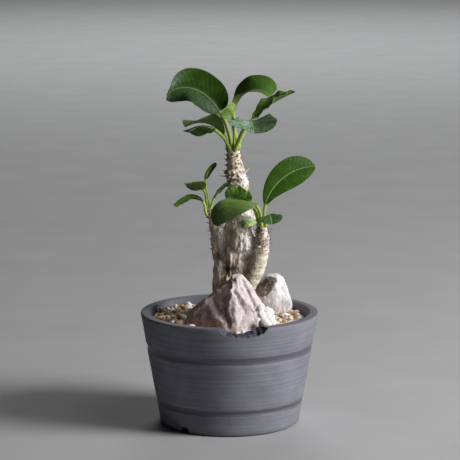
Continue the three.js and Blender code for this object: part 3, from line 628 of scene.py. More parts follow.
def limb(name, rows, steps=60):
    line = smooth_line(rows, steps)
    # the growing end is rounded over
    tail = line[-1].copy()
    up = (line[-1] - line[-2])[:3]
    up /= np.linalg.norm(up)
    for rise, swell in ((0.28, 0.86), (0.42, 0.45)):
        tip = tail.copy()
        tip[:3] += up * rise * tail[3]
        tip[3] *= swell
        line = np.vstack([line, tip])
    curve = bpy.data.curves.new(name, "CURVE")
    curve.dimensions, curve.bevel_depth, curve.bevel_resolution, curve.use_fill_caps = "3D", MM, 8, True
    spline = curve.splines.new("POLY")
    spline.points.add(len(line) - 1)
    for point, (x, y, z, r) in zip(spline.points, line):
        point.co, point.radius = (x * MM, y * MM, z * MM, 1), r
    obj = pick(new_object(name, curve))
    bpy.ops.object.convert(target="MESH")
    return obj


def boss(x, y, z, rx, ry, rz):
    obj = ball(4)
    move_points(obj, points(obj) * MM * np.array([rx, ry, rz]) + np.array([x, y, z]))
    return obj


def stem_at(rows, z):
    """Centre and radius of a stem at a height."""
    rows = np.array(rows, float)
    return [np.interp(z, rows[:, 2], rows[:, i]) for i in (0, 1, 3)]


def off_stem(rows, p, low, high):
    """Distance of each point from a stem's surface, or 99 outside its heights."""
    x, y, r = stem_at(rows, p[:, 2])
    d = np.hypot(p[:, 0] - x, p[:, 1] - y) - r
    return np.where((p[:, 2] > low) & (p[:, 2] < high), d, 99)


def blobs(p, *rows):
    """Soft spots added up; each row is a centre, three sizes and how much the spot counts."""
    return sum(row[6] * np.exp(-2.2 * (((p - row[:3]) / row[3:6]) ** 2).sum(1)) for row in rows)


def crumbs(name, rows):
    """Small rounded lumps in one mesh; each row is a centre and three radii."""
    p, faces = taken(ball(2))
    return gather(name, [(p * row[3:] + row[:3], faces) for row in rows])


def over_lump(dice, lump, count, grain, long):
    """Places for shaggy crumbs of cork over a rounded lump."""
    a, h = dice(count) * 2 * pi, 1.9 * dice(count) - 0.95
    w, g = np.sqrt(1 - h * h), grain * (0.6 + 0.8 * dice(count))
    where = np.c_[np.cos(a) * w, np.sin(a) * w, h] * lump[3:] + lump[:3]
    return np.c_[where, g, g, long * g * (0.6 + 0.8 * dice(count))]


def over_stem(dice, stem, low, high, count, grain, long):
    """Places for plates of bark round a stem."""
    z, a = low + (high - low) * dice(count), 2 * pi * dice(count)
    x, y, r = stem_at(stem, z)
    g, r = grain * (0.6 + 0.8 * dice(count)), r - 0.25
    tall = long * g * (0.6 + 0.8 * dice(count))
    return np.c_[x + r * np.cos(a), y + r * np.sin(a), z, g, g, tall]


def ledge_ring(dice, x, y, z, reach, tilt, count, grain):
    """Places for the ragged rim of a ledge of old bark."""
    a = (np.arange(count) + 0.7 * dice(count)) / count * 2 * pi
    r, g = reach + 0.5 * (dice(count) - 0.5), grain * (0.6 + 0.8 * dice(count))
    px = x + r * np.cos(a)
    return np.c_[px, y + r * np.sin(a), z + tilt * (px - x) + 0.5 * (dice(count) - 0.5), g, g, 0.8 * g]


# the corky lobes on the trunk's right flank: centre and radii
LOBE, UPPER_LOBE = (6.3, -2.0, 92.4, 6.1, 6.9, 7.6), (7.3, -1.6, 103.6, 5.2, 5.6, 5.2)


def make_trunk(finish):
    bosses = [
        LOBE, UPPER_LOBE, (-4.2, -1.8, 76, 4.2, 5.2, 10), (8.4, -2.4, 77, 5.4, 4.4, 9), (-4.4, -1.2, 92, 3.4, 3.4, 8),
        (-7.2, -2.2, 87.6, 1.8, 2.2, 1.6), (-4.3, -2.6, 98.4, 1.5, 1.6, 2.8), (3.4, -2.4, 78.5, 5, 5.2, 4.6),
        (2.3, -0.4, 128, 4.5, 4.4, 0.9), (5.4, -1.4, 122.2, 3.4, 3.6, 3.4), (2.2, -1, 121.6, 4, 4, 1.6)]
    dice = np.random.default_rng(31).random
    shag = [
        over_lump(dice, LOBE, 330, 0.6, 2.2), over_lump(dice, UPPER_LOBE, 130, 0.55, 2.0),
        over_lump(dice, (5.6, -1.4, 122.0, 3.3, 3.6, 3.6), 60, 0.6, 1.3),
        over_lump(dice, (-4.3, -2.8, 98.4, 1.4, 1.6, 2.8), 16, 0.5, 1.3),
        over_stem(dice, MAIN_STEM, 84, 119, 130, 0.7, 3.4), over_stem(dice, MAIN_STEM, 56, 84, 90, 0.8, 4.2),
        over_stem(dice, LEFT_STEM, 84, 105, 40, 0.5, 3.0), over_stem(dice, RIGHT_STEM, 88, 99, 46, 0.5, 1.2),
        over_stem(dice, MAIN_STEM, 130, 138.2, 44, 0.42, 1.0),
        ledge_ring(dice, 2.3, -0.2, 127.8, 4.2, 0.22, 24, 0.85),
        ledge_ring(dice, 2.9, -0.3, 124.6, 4.4, 0.1, 20, 0.65),
    ]
    stems = [limb("trunk_main", MAIN_STEM, 90), limb("trunk_left", LEFT_STEM), limb("trunk_right", RIGHT_STEM)]
    trunk = join("trunk_bark", *stems, crumbs("shag", np.vstack(shag)), *[boss(*b) for b in bosses])
    remesh(trunk, BARK_VOXEL, 0.5, 2)
    p = points(trunk)
    x, z = p[:, 0], p[:, 2]
    normals = np.array([v.normal[:] for v in trunk.data.vertices])
    d_main = off_stem(MAIN_STEM, p, 0, 200)
    d_left, d_right = off_stem(LEFT_STEM, p, 80, 111), off_stem(RIGHT_STEM, p, 58, 101.8)
    on_right = fade(d_main - d_right, 0.0, 1.8)
    on_left = fade(d_main - off_stem(LEFT_STEM, p, 84, 111), 0.0, 1.2)
    relief = np.minimum(np.minimum(d_main, d_left), d_right)
    lobe = np.minimum(
        np.linalg.norm((p - [6.3, -2.0, 92.2]) / [6.8, 7.6, 8.2], axis=1),
        np.linalg.norm((p - [7.3, -1.6, 104.2]) / [5.9, 6.3, 5.8], axis=1))
    cork = 1 - fade(lobe + 0.08 * lumps(p, 1.6, 3), 0.98, 1.1)
    cork *= fade(x + 0.9 * lumps(p * [1, 1, 0.5], 1.6, 45) + 0.25 * p[:, 1], 3.4, 4.0)
    neck = fade(z, 117, 119) * (1 - fade(z, 128.7, 130)) * (1 - on_left) * (1 - on_right)
    young = fade(z + 0.8 * lumps(p, 2, 37), 128.4, 130) * (1 - on_right)
    crown = np.maximum(fade(z, 137.4, 139.6), on_right * fade(z, 98.2, 100.6))
    # the right branch's greenish bark: its own colour, painted paler and greener on its lit right side; its shaded
    # left side gets painted olive-brown below
    green = on_right * fade(z, 66, 72) * (1 - fade(z + 2 * lumps(p, 3, 31), 87, 91))
    green = green * (0.4 + 0.6 * fade(x + 2 * lumps(p, 2.5, 33) - 0.2 * (z - 80), 10.5, 14))
    tuft = on_right * fade(z, 88, 91)
    # fine long fibres in the old bark
    wood = np.c_[p[:, 0] * 1.0, p[:, 1] * 1.0, p[:, 2] * 0.17]
    fibres = 1 - np.abs(lumps(wood, 1.3, 2) + 0.4 * lumps(wood, 0.6, 7))
    furrow = fade(fibres, 0.76, 1.0)
    old = (1 - young) * (1 - 0.7 * cork) * (1 - green) * fade(120 - z, 0, 4)
    knobs, crumb, folds = lumps(p, 1.5, 4), lumps(p, 0.7, 8), lumps(p, 4.5, 11)
    fuzz = np.abs(lumps(p * [1, 1, 0.55], 1.1, 15))
    rings = np.sin(1.5 * z + 1.5 * lumps(p, 5, 6))
    push = -0.26 * furrow * old + 0.12 * knobs + 0.07 * crumb
    push += cork * (0.6 * fuzz - 0.2 + 0.2 * crumb) + young * 0.14 * knobs
    push += neck * (0.3 * knobs + 0.25 * crumb) + 0.14 * rings * green + 0.2 * tuft * knobs + 0.4 * folds * old
    pit = blobs(p, (7.2, -9, 84, 3.2, 4, 1.7, 1), (-6, -5, 86, 1.9, 4, 2.2, 0.8))
    push -= 1.2 * pit
    push *= fade(140.6 - z, 0.2, 2) * (0.4 + 0.6 * fade(z, 50, 56))
    move_points(trunk, p + normals * push[:, None])
    # dark marks and painted shade: painted shade in the pit under the lobe, in the crevice across the front below the
    # lobes and in the gaps under the ledges of old bark; a dark knot, dark old spine seats, darker furrows and low
    # places in the old bark, and darker cracks between the cork's crumbs
    high = fade(relief + 0.15 * knobs, 0.05, 0.5)
    ledge_shade = blobs(
        p, (2.6, -5, 124.2, 3.6, 4, 1.1, 0.9), (-1.5, -3.5, 127, 1.2, 4.4, 2, 0.9),
        (0.6, -4, 121.6, 3.4, 4, 1.5, 0.5), (5.3, -4, 127.9, 0.8, 3, 0.8, 0.9), (-1.2, 3, 125.5, 2.2, 4, 1.4, 0.8))
    seats = fade(lumps(p, 1.5, 41) + 0.5 * lumps(p, 0.7, 43), 0.24, 0.42)
    dark = 0.36 * furrow * old + ledge_shade * (1 - young) + 0.9 * pit + 0.3 * (1 - high) * old * fade(folds, -0.3, 0.3)
    dark += seats * (0.75 * young * (1 - crown) + 0.6 * tuft + 0.35 * neck)
    dark += 0.25 * cork * fade(0.12 - fuzz, 0.0, 0.1) + blobs(p, (1.2, -7, 79.6, 6.5, 6, 2.2, 0.9))
    # cork and pale bark: the lobes' cork, the neck's pale bark, paler raised old bark and a cork lump on the left
    # branch; and painted light: the neck and the right branch's tuft whiter on their right sides, a pale spot on the
    # main stem's front where the leaves' shadow falls, and a paler left branch
    white = cork + 0.9 * neck * fade(relief, 0.15, 0.6) * (0.35 + 0.65 * fade(x, 0, 4)) + 0.35 * high * old
    white += blobs(p, (-1.5, -7, 95, 6, 6, 8, 0.35)) * high + 0.5 * tuft * fade(x + knobs, 16, 18)
    white += blobs(p, (-7.4, -2, 94, 3, 4, 9, 0.5), (-4.6, -4, 98.4, 1.7, 3, 1.9, 0.9))
    # olive-brown: the dark olive bark at the trunk's foot, darkened further as painted shade under the lobes; a
    # little on the left branch; painted shade on the neck below the ledges and on the right branch's shaded left side
    low = blobs(p, (2.5, -7, 78, 8, 8, 5, 1), (0.6, -8, 79.5, 5, 6, 6, 0.6), (9.5, -8, 73, 4.5, 6, 7, 1))
    low += 0.15 * on_left + 0.35 * fade(z, 116, 119) * (1 - fade(z, 122, 124))
    low += 0.6 * on_right * (1 - fade(x, 11, 14))
    # young also takes the tuft's right side, painted light
    notes(
        trunk, crevice=dark, cork=np.clip(white, 0, 1) * (1 - np.clip(pit, 0, 1)),
        young=np.maximum(young, 0.75 * tuft * fade(x, 12.5, 16)), green=np.maximum(green, crown), olive=low)
    soften(trunk)
    return hand_in(trunk, "trunk_bark", "bark", finish, "trunk")


def model_spine():
    """One spine along +Z, 1 mm long, bent a little and broad at its root."""
    cone = dict(vertices=6, radius1=1, radius2=0.02, depth=1, location=(0, 0, 0.5))
    obj = primitive(bpy.ops.mesh.primitive_cone_add, **cone)
    for cut in (0.12, 0.3, 0.5, 0.75):
        edit(obj, (bpy.ops.mesh.bisect, {"plane_co": (0, 0, cut), "plane_no": (0, 0, 1)}))
    p, faces = taken(obj)
    p[:, :2] *= (0.62 + 0.75 * (1 - fade(p[:, 2], 0, 0.22)))[:, None]
    p[:, 0] += 0.28 * p[:, 2] ** 2
    return p, faces


def make_spines(finish):
    shape, faces = model_spine()
    dice = np.random.default_rng(12).random
    spines = []  # root, direction, length, thickness, pale or not
    groups = [
        (MAIN_STEM, 129.8, 139.2, 6, 8, (0.7, 1.7), 0.12, 0.8), (MAIN_STEM, 119, 127.6, 3, 6, (1.0, 2.2), 0.5, 0.4),
        (MAIN_STEM, 98, 118, 6, 5, (0.9, 1.8), 0.6, 0.6), (LEFT_STEM, 88, 108.8, 10, 6, (1.0, 2.2), 0.1, 0.6),
        (RIGHT_STEM, 88, 99.6, 7, 8, (1.0, 2.1), 0.15, 0.6),
    ]
    for rows, low, high, tiers, around, lengths, chance, slope in groups:
        for i in range(tiers):
            for j in range(around):
                z = low + (high - low) * (i + 0.2 + 0.6 * dice()) / tiers
                a = (j + 0.5 * (i % 2) + 0.5 * (dice() - 0.5)) / around * 2 * pi
                x, y, r = stem_at(rows, z)
                root = Vector((x + (r - 0.4) * cos(a), y + (r - 0.4) * sin(a), z))
                mx, my, mr = stem_at(MAIN_STEM, z)
                if rows is not MAIN_STEM and hypot(root.x - mx, root.y - my) < mr + 0.6:
                    continue
                way = Vector((cos(a), sin(a), slope * (dice() - 0.25)))
                long = lengths[0] + (lengths[1] - lengths[0]) * dice() + 0.6
                spines.append((root, way, long, 0.36 + 0.26 * dice(), dice() < chance))
    # the long ones at the neck and the few that stand out on the branches
    for x, y, z, out, back, lift, long, pale in [
        (5.2, -3.0, 125.6, 1, -0.1, 0.8, 8.2, 1), (6.6, -3.2, 126.8, 1, -0.2, 0.16, 4.2, 1),
        (7.2, -1.8, 124.0, 1, -0.1, 0.28, 3.8, 1), (7.6, -0.6, 121.6, 1, 0.1, 0.15, 2.6, 1),
        (-1.4, -2.0, 125.4, -1, -0.1, 0.02, 4.2, 0), (-1.8, -1.6, 127.8, -1, -0.2, 0.3, 2.4, 0),
        (-1.2, -1.6, 131.0, -1, -0.3, 0.2, 1.8, 0), (-1.4, -1.0, 133.6, -1, -0.2, 0.3, 1.9, 0),
        (-1.2, -1.4, 135.9, -1, -0.3, 0.35, 1.9, 0), (-0.9, -1.2, 138.2, -1, -0.3, 0.5, 2.2, 0),
        (-0.6, -2.8, 128.6, -1, -0.6, 0.4, 2.4, 0), (18.2, -6.8, 92.2, 1, -0.1, 0.12, 3.4, 0),
        (18.6, -6.4, 99.6, 1, 0.0, -0.15, 3.4, 0), (-8.2, -2.6, 87.8, -1, -0.2, 0.4, 2.4, 0)]:
        fat = 1.7 if long > 5 else 0.75 if pale else 0.6
        spines.append((Vector((x, y, z)), Vector((out, back, lift)), long, fat, pale))
    parts = []
    for root, way, long, fat, _ in spines:
        turn = np.array(way.normalized().to_track_quat("Z", "X").to_matrix())
        parts.append(((shape * [fat, fat, long]) @ turn.T + np.array(root), faces))
    obj = gather("spines", parts)
    pale = np.repeat([float(spine[4]) for spine in spines], len(shape))
    notes(obj, reach=np.tile(shape[:, 2], len(spines)), pale=pale)
    soften(obj, 50)
    return hand_in(obj, "spines", "bark", finish)


# ---- leaves ----
STALK_ROWS, VEIN_STEP = 0.28, 2.3


def half_width(u, full):
    a, b = full
    q = a / (a + b)
    u = np.clip(u, 1e-6, 1 - 1e-6)
    return u**a * (1 - u) ** b / (q**a * (1 - q) ** b)


def make_leaf(name, row, finish):
    sits, turn, climb, ease, stalk, blade, wide, roll, fold, cup, full, share, wave, thick, _, bloom, extra = row
    rad, total = np.radians, stalk + blade
    tip, sit = np.array(TIPS[name.split("_")[0]], float), rad(sits[0])
    foot = tip + [sits[1] * cos(sit), sits[1] * sin(sit), sits[2]]

    def heading(v):
        """Compass angle and direction of the midrib."""
        a = rad(turn[0] + (turn[1] - turn[0]) * v)
        e = rad(climb[0] + (climb[1] - climb[0]) * v**ease)
        return a, np.c_[np.cos(e) * np.cos(a), np.cos(e) * np.sin(a), np.sin(e)]

    s = np.linspace(0, 1, 241)
    rib = np.vstack([foot, foot + np.cumsum(heading((s[1:] + s[:-1]) / 2)[1] * total / 240, 0)])
    # a sheet of vertices is rolled into the leaf's closed skin
    around, rows = 44, 112 if blade > 15 else 84
    obj = primitive(bpy.ops.mesh.primitive_grid_add, x_subdivisions=around, y_subdivisions=rows, size=1)
    sheet = points(obj) * MM + 0.5
    ring, v = sheet[:, 0] * 2 * pi, np.clip(sheet[:, 1], 0, 1)
    # the first rows grow out of the stem; the others crowd towards the blade's foot and end
    cut, rooted = stalk / total, 0.06
    sunk = np.clip((rooted - v) / rooted, 0, 1)
    v = np.clip((v - rooted) / (1 - rooted), 0, 1)
    inside = np.clip((v - STALK_ROWS) / (1 - STALK_ROWS), 0, 1)
    along = np.where(v < STALK_ROWS, v / STALK_ROWS * cut, cut + (1 - cut) * (1 - (1 - 0.999 * inside) ** 1.4))
    u = np.clip((along - cut) / (1 - cut), 0, 1)
    a, T = heading(along)
    side = np.c_[-np.sin(a), np.cos(a), 0 * a]
    up = np.cross(T, side)
    r = rad(roll[0] + (roll[2] - roll[0]) * u + 4 * roll[1] * u * (1 - u))[:, None]
    S, N = side * np.cos(r) + up * np.sin(r), -side * np.sin(r) + up * np.cos(r)
    stem = thick * (1 - 0.7 * np.clip(u * 2.2, 0, 1)) * (1 + 0.3 * (1 - fade(along, 0, 0.1)))
    # t runs across the blade, from -1 at its right margin to 1 at its left
    t, face = np.cos(ring), np.sin(ring)
    half = wide / 2 * half_width(u, full) * (1 + share * t)
    k = np.clip(half / (stem * 2.5), 0, 1)
    flat = k * k * (3 - 2 * k)
    h = np.maximum(half + 0.3 * flat, stem)
    f = rad(np.where(t > 0, *fold)) * k
    soft_t = np.sqrt(t * t + 0.012) - 0.1
    beat = 2 * pi * wave[1] * u + wave[2] + np.where(t > 0, 0.0, 2.0)
    ripple = wave[0] * (np.sin(beat) * t * t + 0.35 * np.sin(2.3 * beat + 1) * np.abs(t) ** 3)
    vein = (u * blade - 0.62 * h * np.abs(t)) / VEIN_STEP
    quilt = 0.08 * np.cos(2 * pi * vein) * fade(np.abs(t), 0.05, 0.3) * (1 - fade(np.abs(t), 0.8, 1))
    lift = h * (soft_t * np.sin(f) - cup * t * t * flat) + (ripple + quilt) * flat
    where = np.c_[[np.interp(along, s, rib[:, i]) for i in range(3)]].T
    inner = tip + (foot - tip) * [0.45, 0.45, 1] - [0, 0, 2.8 if sits[1] < 4 else 0.8]
    where += (inner - foot) * sunk[:, None]
    where += S * (h * t * np.cos(f))[:, None] + N * lift[:, None]
    where += np.array(extra.get("rooted", (0, 0, 0))) * (1 - fade(along, 0, cut))[:, None]
    for at, way, length, out, on, rise in extra.get("pulls", ()):
        pull = (np.exp(-(((u - at) / length) ** 2)) * np.clip(way * t, 0, 1) ** 1.3 * flat)[:, None]
        where += (S * way * out + T * on + N * rise) * pull
    round_flesh, flat_flesh = stem * np.abs(face), 0.26 * np.abs(face) ** 0.4
    flesh = round_flesh + (flat_flesh - round_flesh) * flat
    keel = np.exp(-((h * t / (0.55 * stem + 0.15)) ** 2)) * stem * flat
    flesh += np.where(face > 0, 0.12, 0.75) * keel
    move_points(obj, where + N * (flesh * np.sign(face) * (np.abs(face) > 1e-6))[:, None])
    # the grey film of each half and the painted sheen spots
    wax_and_sheen_mask = np.where(t > 0, *bloom) * fade(u, 0.02, 0.2)
    for at, off, length, width, much in extra.get("painted_sheens", ()):
        wax_and_sheen_mask += much * np.exp(-(((u - at) / length) ** 2) - ((t - off) / width) ** 2)
    notes(obj, 99, along=u * blade, across=np.abs(h * t) * flat + 3 * (1 - flat))
    notes(
        obj, edge=np.abs(t) * flat, under=1.0 - (face > 0), stalk=1 - fade(u, 0, extra.get("pale_foot", 0.12)),
        bloom=np.clip(wax_and_sheen_mask, 0, 1) * (face > 0))
    edit(obj, (bpy.ops.mesh.remove_doubles, {"threshold": 2e-6}), NONE, (bpy.ops.mesh.select_non_manifold, {}),
         (bpy.ops.mesh.edge_face_add, {}), ALL, OUTWARD)
    soften(obj)
    return hand_in(obj, "blade_" + name, "leaf", finish, "leaf_" + name)


# ---- rocks ----
def shave(p, cuts):
    """Planes are broken off: each cut is a direction and a depth below the farthest point."""
    for x, y, z, depth in cuts:
        n = np.array([x, y, z]) / sqrt(x * x + y * y + z * z)
        over = np.clip(p @ n - ((p @ n).max() - depth), 0, None)
        p = p - np.outer(0.92 * over, n)
    return p


def off_line(p, line):
    """Distance of each point from a line drawn on the front, over x and z."""
    here, best = p[:, [0, 2]], np.full(len(p), 99.0)
    for a, b in zip(np.array(line[:-1], float), np.array(line[1:], float)):
        t = np.clip(((here - a) @ (b - a)) / ((b - a) @ (b - a)), 0, 1)
        best = np.minimum(best, np.linalg.norm(here - a - t[:, None] * (b - a), axis=1))
    return best


# creases and ridges on the front rock: a line over x and z, its width and its height
CREASES = [
    ([(6.5, 76.4), (7.9, 72.7), (9.6, 69), (11.8, 65.2), (12.8, 62)], 0.75, -1.1),
    ([(4.4, 76.6), (3.6, 72), (6.2, 68.3), (9, 65), (12, 61.6)], 0.8, 0.7),
    ([(2.6, 70.6), (4.4, 67), (7.2, 63.6), (8.6, 60)], 0.8, -0.7),
    ([(1.7, 78), (1.4, 73), (1.0, 68), (-0.4, 62), (0.9, 57), (3.4, 53)], 0.9, 0.8),
    ([(5.4, 66), (6.8, 62), (6.2, 58), (4.6, 55)], 0.8, -0.6),
    ([(1.0, 71.6), (-5.2, 70.4), (-9.3, 67.3), (-13.5, 63.5), (-17, 60)], 0.9, 0.9),
    ([(-3, 69), (-2.4, 65), (-1.6, 61), (0.2, 57)], 1.2, -1.2),
    ([(-12.4, 66.4), (-9.6, 63.4), (-8.2, 60), (-5.2, 57.4), (-3.4, 53)], 1.7, 0.9),
    ([(-6.8, 58.6), (-3.2, 57), (-1.2, 53)], 1.3, 0.8),
    ([(-8.6, 67), (-6.6, 64.4), (-4.4, 61)], 0.7, -0.6),
    ([(-10.6, 62), (-8.6, 58.4), (-7, 55)], 0.7, -0.8),
    ([(-13, 62.6), (-12.2, 59), (-12.6, 55)], 0.9, 0.6),
    ([(-15.4, 60), (-15, 57), (-15.6, 54)], 0.7, -0.7),
]


def make_rock(node, finish, voxel, cuts, amounts, seed, knobs=()):
    cad = frame["nodes"][node]
    obj = cad.copy()
    obj.data = cad.data.copy()
    obj.parent = None
    bpy.context.scene.collection.objects.link(obj)
    edit(obj, MERGE)
    remesh(obj, voxel, 0.6, 3)
    move_points(obj, shave(points(obj), cuts))
    if knobs:
        obj = join(node, obj, *[boss(*k) for k in knobs])
        remesh(obj, voxel, 0.5, 1)
    p = points(obj)
    n = np.array([v.normal[:] for v in obj.data.vertices])
    big, mid, small = amounts
    sheet = p * [1, 1, 0.38]
    push = big * lumps(p, 6, seed) + mid * (0.5 - np.abs(lumps(sheet, 2.4, seed + 3)))
    push += small * lumps(p, 0.9, seed + 6)
    # broken steps that run down the rock
    ledge = lumps(sheet, 2.6, seed + 9)
    push += 0.8 * mid * (np.round(ledge * 3) / 3 - ledge)
    buried = fade(p[:, 2], SOIL_TOP + 0.3, SOIL_TOP + 3)
    if "back" in node:
        p = p + n * (push * buried)[:, None]
        move_points(obj, p)
        x, z = p[:, 0], p[:, 2]
        d = np.abs(0.55 * (x - 17.6) - (z - 66)) / 5.4 + (np.abs(x - 17.6) / 7.6) ** 3 + 0.4 * lumps(p, 2.0, 70)
        d = d + 0.5 * np.abs(lumps(p * [1, 1, 0.5], 1.2, 73)) + fade(p[:, 1], 15, 20)
        notes(obj, patch=1 - fade(d, 0.8, 1.15))
        soften(obj, 40)
        return hand_in(obj, "boulder_back", "rock_pale", finish, node)
    bent = p + 0.9 * np.c_[lumps(p, 2.6, 80), lumps(p, 2.6, 85), lumps(p, 2.6, 90)]
    creases = sum(rise * np.exp(-((off_line(bent, line) / width) ** 2)) for line, width, rise in CREASES)
    creases *= fade(-n[:, 1], -0.1, 0.3)
    p = p + n * ((push + creases) * buried)[:, None]
    # the foot draws back from the pot's wall
    p[:, 1] += 0.85 * np.clip(-33.2 - p[:, 1], 0, None)
    move_points(obj, p)
    x, z = p[:, 0], p[:, 2]
    blot = 1.6 * lumps(p, 6, 50) + 1.0 * lumps(p, 1.8, 60)
    edge = np.interp(z, [52, 57, 61, 68, 78], [3.4, 0.9, -0.3, 1.2, 1.6])
    tone = fade(x - edge + 0.7 * blot, -1.6, 1.0)
    # painted light: a paler stripe along the ridge on the shaded left face
    band = off_line(bent, [(-12.8, 66.2), (-9.8, 63), (-8.4, 59.6), (-4.6, 57), (-2.6, 53)]) + 1.6 * blot
    tone = np.maximum(tone, (0.55 + 0.3 * lumps(p, 2.2, 95)) * (1 - fade(band, 1.0, 4.2)))
    tone = np.maximum(tone, 0.35 * fade(x + blot, -14, -9) * (1 - fade(z, 66, 69)))
    white = fade(x + 0.5 * blot, 13.6, 15.6) * (1 - fade(z, 62.4, 64))
    # the creases also paint light on the ridges and shade in the grooves
    notes(obj, tone=tone + 0.25 * np.clip(creases, -0.6, 0.8), white=white)
    soften(obj, 40)
    return hand_in(obj, "boulder_front", "rock_dark", finish, node)


# ---- gravel ----
BED_GRAINS, LOOSE_GRAINS, LOOSE_LIFT = 700, 170, 1.2
PEBBLE = (16.8, -31.2, 3.6, 5.0)  # x, y, size and lift of the one large grain
# grains along the wall in front of the rock: x and size, all as far from the pot's axis
WALL_REACH = 37.3
WALL_GRAINS = [
    (-17, 1.6), (-14.2, 2.0), (-11.4, 1.5), (-6.2, 1.5), (-2.6, 2.1), (0.6, 1.7), (3.8, 2.0), (6.8, 1.5), (9.6, 2.2),
    (12.6, 1.8)]


def model_grains(dice):
    """Seven different grains, each about 1 mm in radius."""
    shapes = []
    for k in range(7):
        p, faces = taken(ball(2))
        size = np.array([1, 0.7 + 0.25 * dice(), 0.55 + 0.2 * dice()])
        p = p * size * (1 + 0.25 * lumps(p, 1.1, 10 * k + 1))[:, None]
        shapes.append((shave(p, [(*(dice(3) - 0.5), 0.12 + 0.2 * dice()) for _ in range(7)]), faces))
    return shapes


def make_gravel(finish, rocks):
    rnd = np.random.default_rng(7)
    dice = rnd.random
    shapes = model_grains(dice)
    reach = pot_radius(BED_TOP) - POT_WALL - 0.2
    tx, ty, tr = stem_at(MAIN_STEM, 53)
    # the bed's own grains keep clear of the trunk; each spot is x, y, size and lift
    spots, tries = [], 0
    while len(spots) < BED_GRAINS and tries < 40000:
        tries += 1
        size = 1.5 + 1.5 * dice() ** 1.5
        if tries > 15000:
            size = 1.1 + 0.5 * dice()
        r = (reach - size * 0.75) * sqrt(dice())
        a = dice() * 2 * pi
        x, y = r * cos(a), r * sin(a)
        if hypot(x - tx, y - ty) < tr + 0.2 * size or hypot(x - 4.5, y + 1) < 7.5:
            continue
        if spots:
            q = np.array(spots)
            if (np.hypot(q[:, 0] - x, q[:, 1] - y) < 0.58 * (q[:, 2] + size)).any():
                continue
        spots.append((x, y, size, 0.0))
    # loose grains lie in the hollows of the layer below, clear of the rocks
    for _ in range(LOOSE_GRAINS):
        r, a = (reach - 2) * sqrt(dice()), dice() * 2 * pi
        spots.append((r * cos(a), r * sin(a), 1.4 + 1.1 * dice(), LOOSE_LIFT))
    spots.append(PEBBLE)
    spots += [(x, -sqrt(WALL_REACH**2 - x * x), size, 1.3) for x, size in WALL_GRAINS]
    blocked = [p[p[:, 2] < 54.5][:, :2] for p in map(points, rocks)]
    parts, tints = [], []
    for x, y, size, lift in spots:
        close = any(np.hypot(edge[:, 0] - x, edge[:, 1] - y).min() < size * 0.9 for edge in blocked)
        if (lift == LOOSE_LIFT and close) or (lift and hypot(x - 0.4, y - 0.5) < 10.5 + size):
            continue
        shape, faces = shapes[rnd.integers(7)]
        a, b = dice() * 2 * pi, 0.5 * (dice() - 0.5)
        turn = np.array([[cos(a), -sin(a), 0], [sin(a), cos(a), 0], [0, 0, 1]])
        tip = np.array([[1, 0, 0], [0, cos(b), -sin(b)], [0, sin(b), cos(b)]])
        mound = 0.5 * (1 - hypot(x, y) / reach) + 1.1 * float(fade(-x, 8, 24))
        z = BED_TOP + mound + lift + 0.7 * (dice() - 0.5) - 0.25 * (size - 1.5)
        parts.append(((shape * size) @ (turn @ tip).T + [x, y, z], faces))
        tints.append(1.0 if size > 3 else dice())
    grains = gather("grains", parts)
    notes(grains, tint=np.repeat(tints, len(shapes[0][0])))
    soften(grains, 55)
    # the bed under the grains
    disc = dict(vertices=96, radius=reach * MM, fill_type="TRIFAN", location=(0, 0, BED_TOP * MM))
    bed = primitive(bpy.ops.mesh.primitive_circle_add, **disc)
    down = {"TRANSFORM_OT_translate": {"value": (0, 0, -1.6 * MM)}}
    edit(bed, (bpy.ops.mesh.extrude_region_move, down), ALL, OUTWARD)
    notes(bed, tint=np.full(len(bed.data.vertices), 0.12))
    return hand_in(join("gravel", grains, bed), "gravel", "gravel", finish, "gravel_top_dressing")


# ---- build ----
clay, broken, bark = clay_finish(), break_finish(), bark_finish()
make_pot(clay, broken)
wear(frame["nodes"]["soil"], soil_finish())
front = make_rock(
    "rock_front", dark_rock_finish(), FRONT_VOXEL,
    [(-0.75, -0.6, 0.2, 1.6), (0.9, -0.1, 0.4, 1.0), (0.1, 0.9, 0.4, 2.0)],
    (0.35, 0.35, 0.16), 4,
    [(15, -23.4, 62.4, 2.1, 1.9, 1.7), (17.8, -21.8, 61.2, 2.3, 2.2, 2.0), (20.2, -20.2, 59.6, 2.2, 2.1, 2.1),
     (18.6, -22.9, 58, 2.3, 2.2, 2.1), (15.6, -24.9, 59.4, 2.1, 2, 1.8), (21, -19.2, 56.8, 1.9, 2, 2),
     (20.4, -21.8, 55, 1.9, 1.9, 1.9), (17, -25.4, 56.2, 2, 2, 1.8), (13.2, -26.6, 56.8, 1.7, 1.7, 1.6),
     (3.8, -20.6, 77.2, 2.9, 2.6, 1.7)])
back = make_rock(
    "rock_back", pale_rock_finish(), BACK_VOXEL,
    [(-0.5, -0.6, 0.6, 1.2), (0.6, -0.6, 0.5, 1.4), (0, -0.3, 1, 0.6), (0.9, 0, 0.3, 0.8), (-0.9, -0.3, 0.1, 0.8)],
    (0.5, 0.55, 0.16), 31)
make_gravel(gravel_finish(), [front, back])
make_trunk(bark)
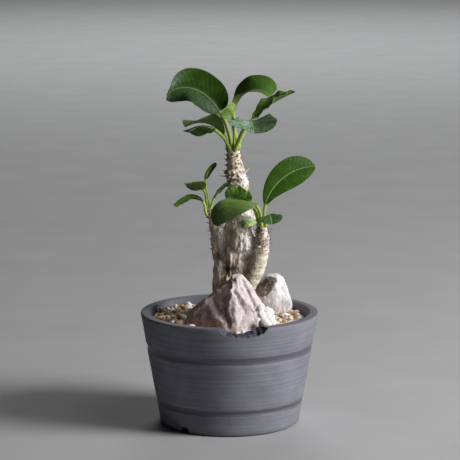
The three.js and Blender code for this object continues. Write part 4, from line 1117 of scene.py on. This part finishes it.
make_spines(spine_finish())
greens = {}
for name, leaf in LEAVES.items():
    age_and_light = leaf[-3]
    tone = age_and_light, 1.7 if "left" in name else 1.1
    if tone not in greens:
        greens[tone] = leaf_finish("leaf_green_%d" % len(greens), *tone)
    make_leaf(name, leaf, greens[tone])

# ---- floor, light and camera ----
floor = primitive(bpy.ops.mesh.primitive_plane_add, size=6)
floor.name, floor.location = "floor", (0, 1.2, -0.0002)
ground = Finish("floor_paper", Roughness=0.85)
ground.feed(Base_Color=ground.ramp(ground.cloud(0.02, 2), (0.3, (0.4, 0.4, 0.4)), (0.7, (0.43, 0.43, 0.43))))
wear(floor, ground)

# each lamp's place, aim, width, power and colour
LAMPS = {
    "window": ((1.06, -0.345, 0.59), (0, 0, 0.09), 0.56, 20.5, (0.99, 0.985, 1.0)),
    "sky": ((0.75, -0.35, 1.15), (0, 0, 0.1), 0.8, 2.4, (0.98, 0.98, 1.0)),
    "back_wash": ((0.1, 2.4, 1.6), (0.1, 2.4, 0), 1.5, 30, (0.98, 0.99, 1.0)),
}
for name, (place, aim, width, power, colour) in LAMPS.items():
    light = bpy.data.lights.new(name, "AREA")
    light.shape, light.size, light.energy, light.color = "DISK", width, power, colour
    obj = new_object(name, light)
    obj.location = place
    obj.rotation_euler = (Vector(aim) - Vector(place)).to_track_quat("-Z", "Y").to_euler()

scene, world = bpy.context.scene, bpy.data.worlds.new("studio")
world.use_nodes = True
glow = world.node_tree.nodes["Background"].inputs
glow["Color"].default_value, glow["Strength"].default_value = (0.86, 0.88, 0.9, 1), 0.012
scene.world, scene.view_settings.view_transform = world, "Standard"

EYE_AT, EYE_DOWN, EYE_LENS = (0.00025, -1.063, 0.277), 9.57, 167.8696
eye = bpy.data.cameras.new("camera")
eye.sensor_width, eye.lens, eye.clip_start, eye.clip_end = 36, EYE_LENS, 0.05, 20
camera = new_object("camera", eye)
camera.location = EYE_AT
camera.rotation_euler = (radians(90 - EYE_DOWN), 0, 0)
scene.camera = camera
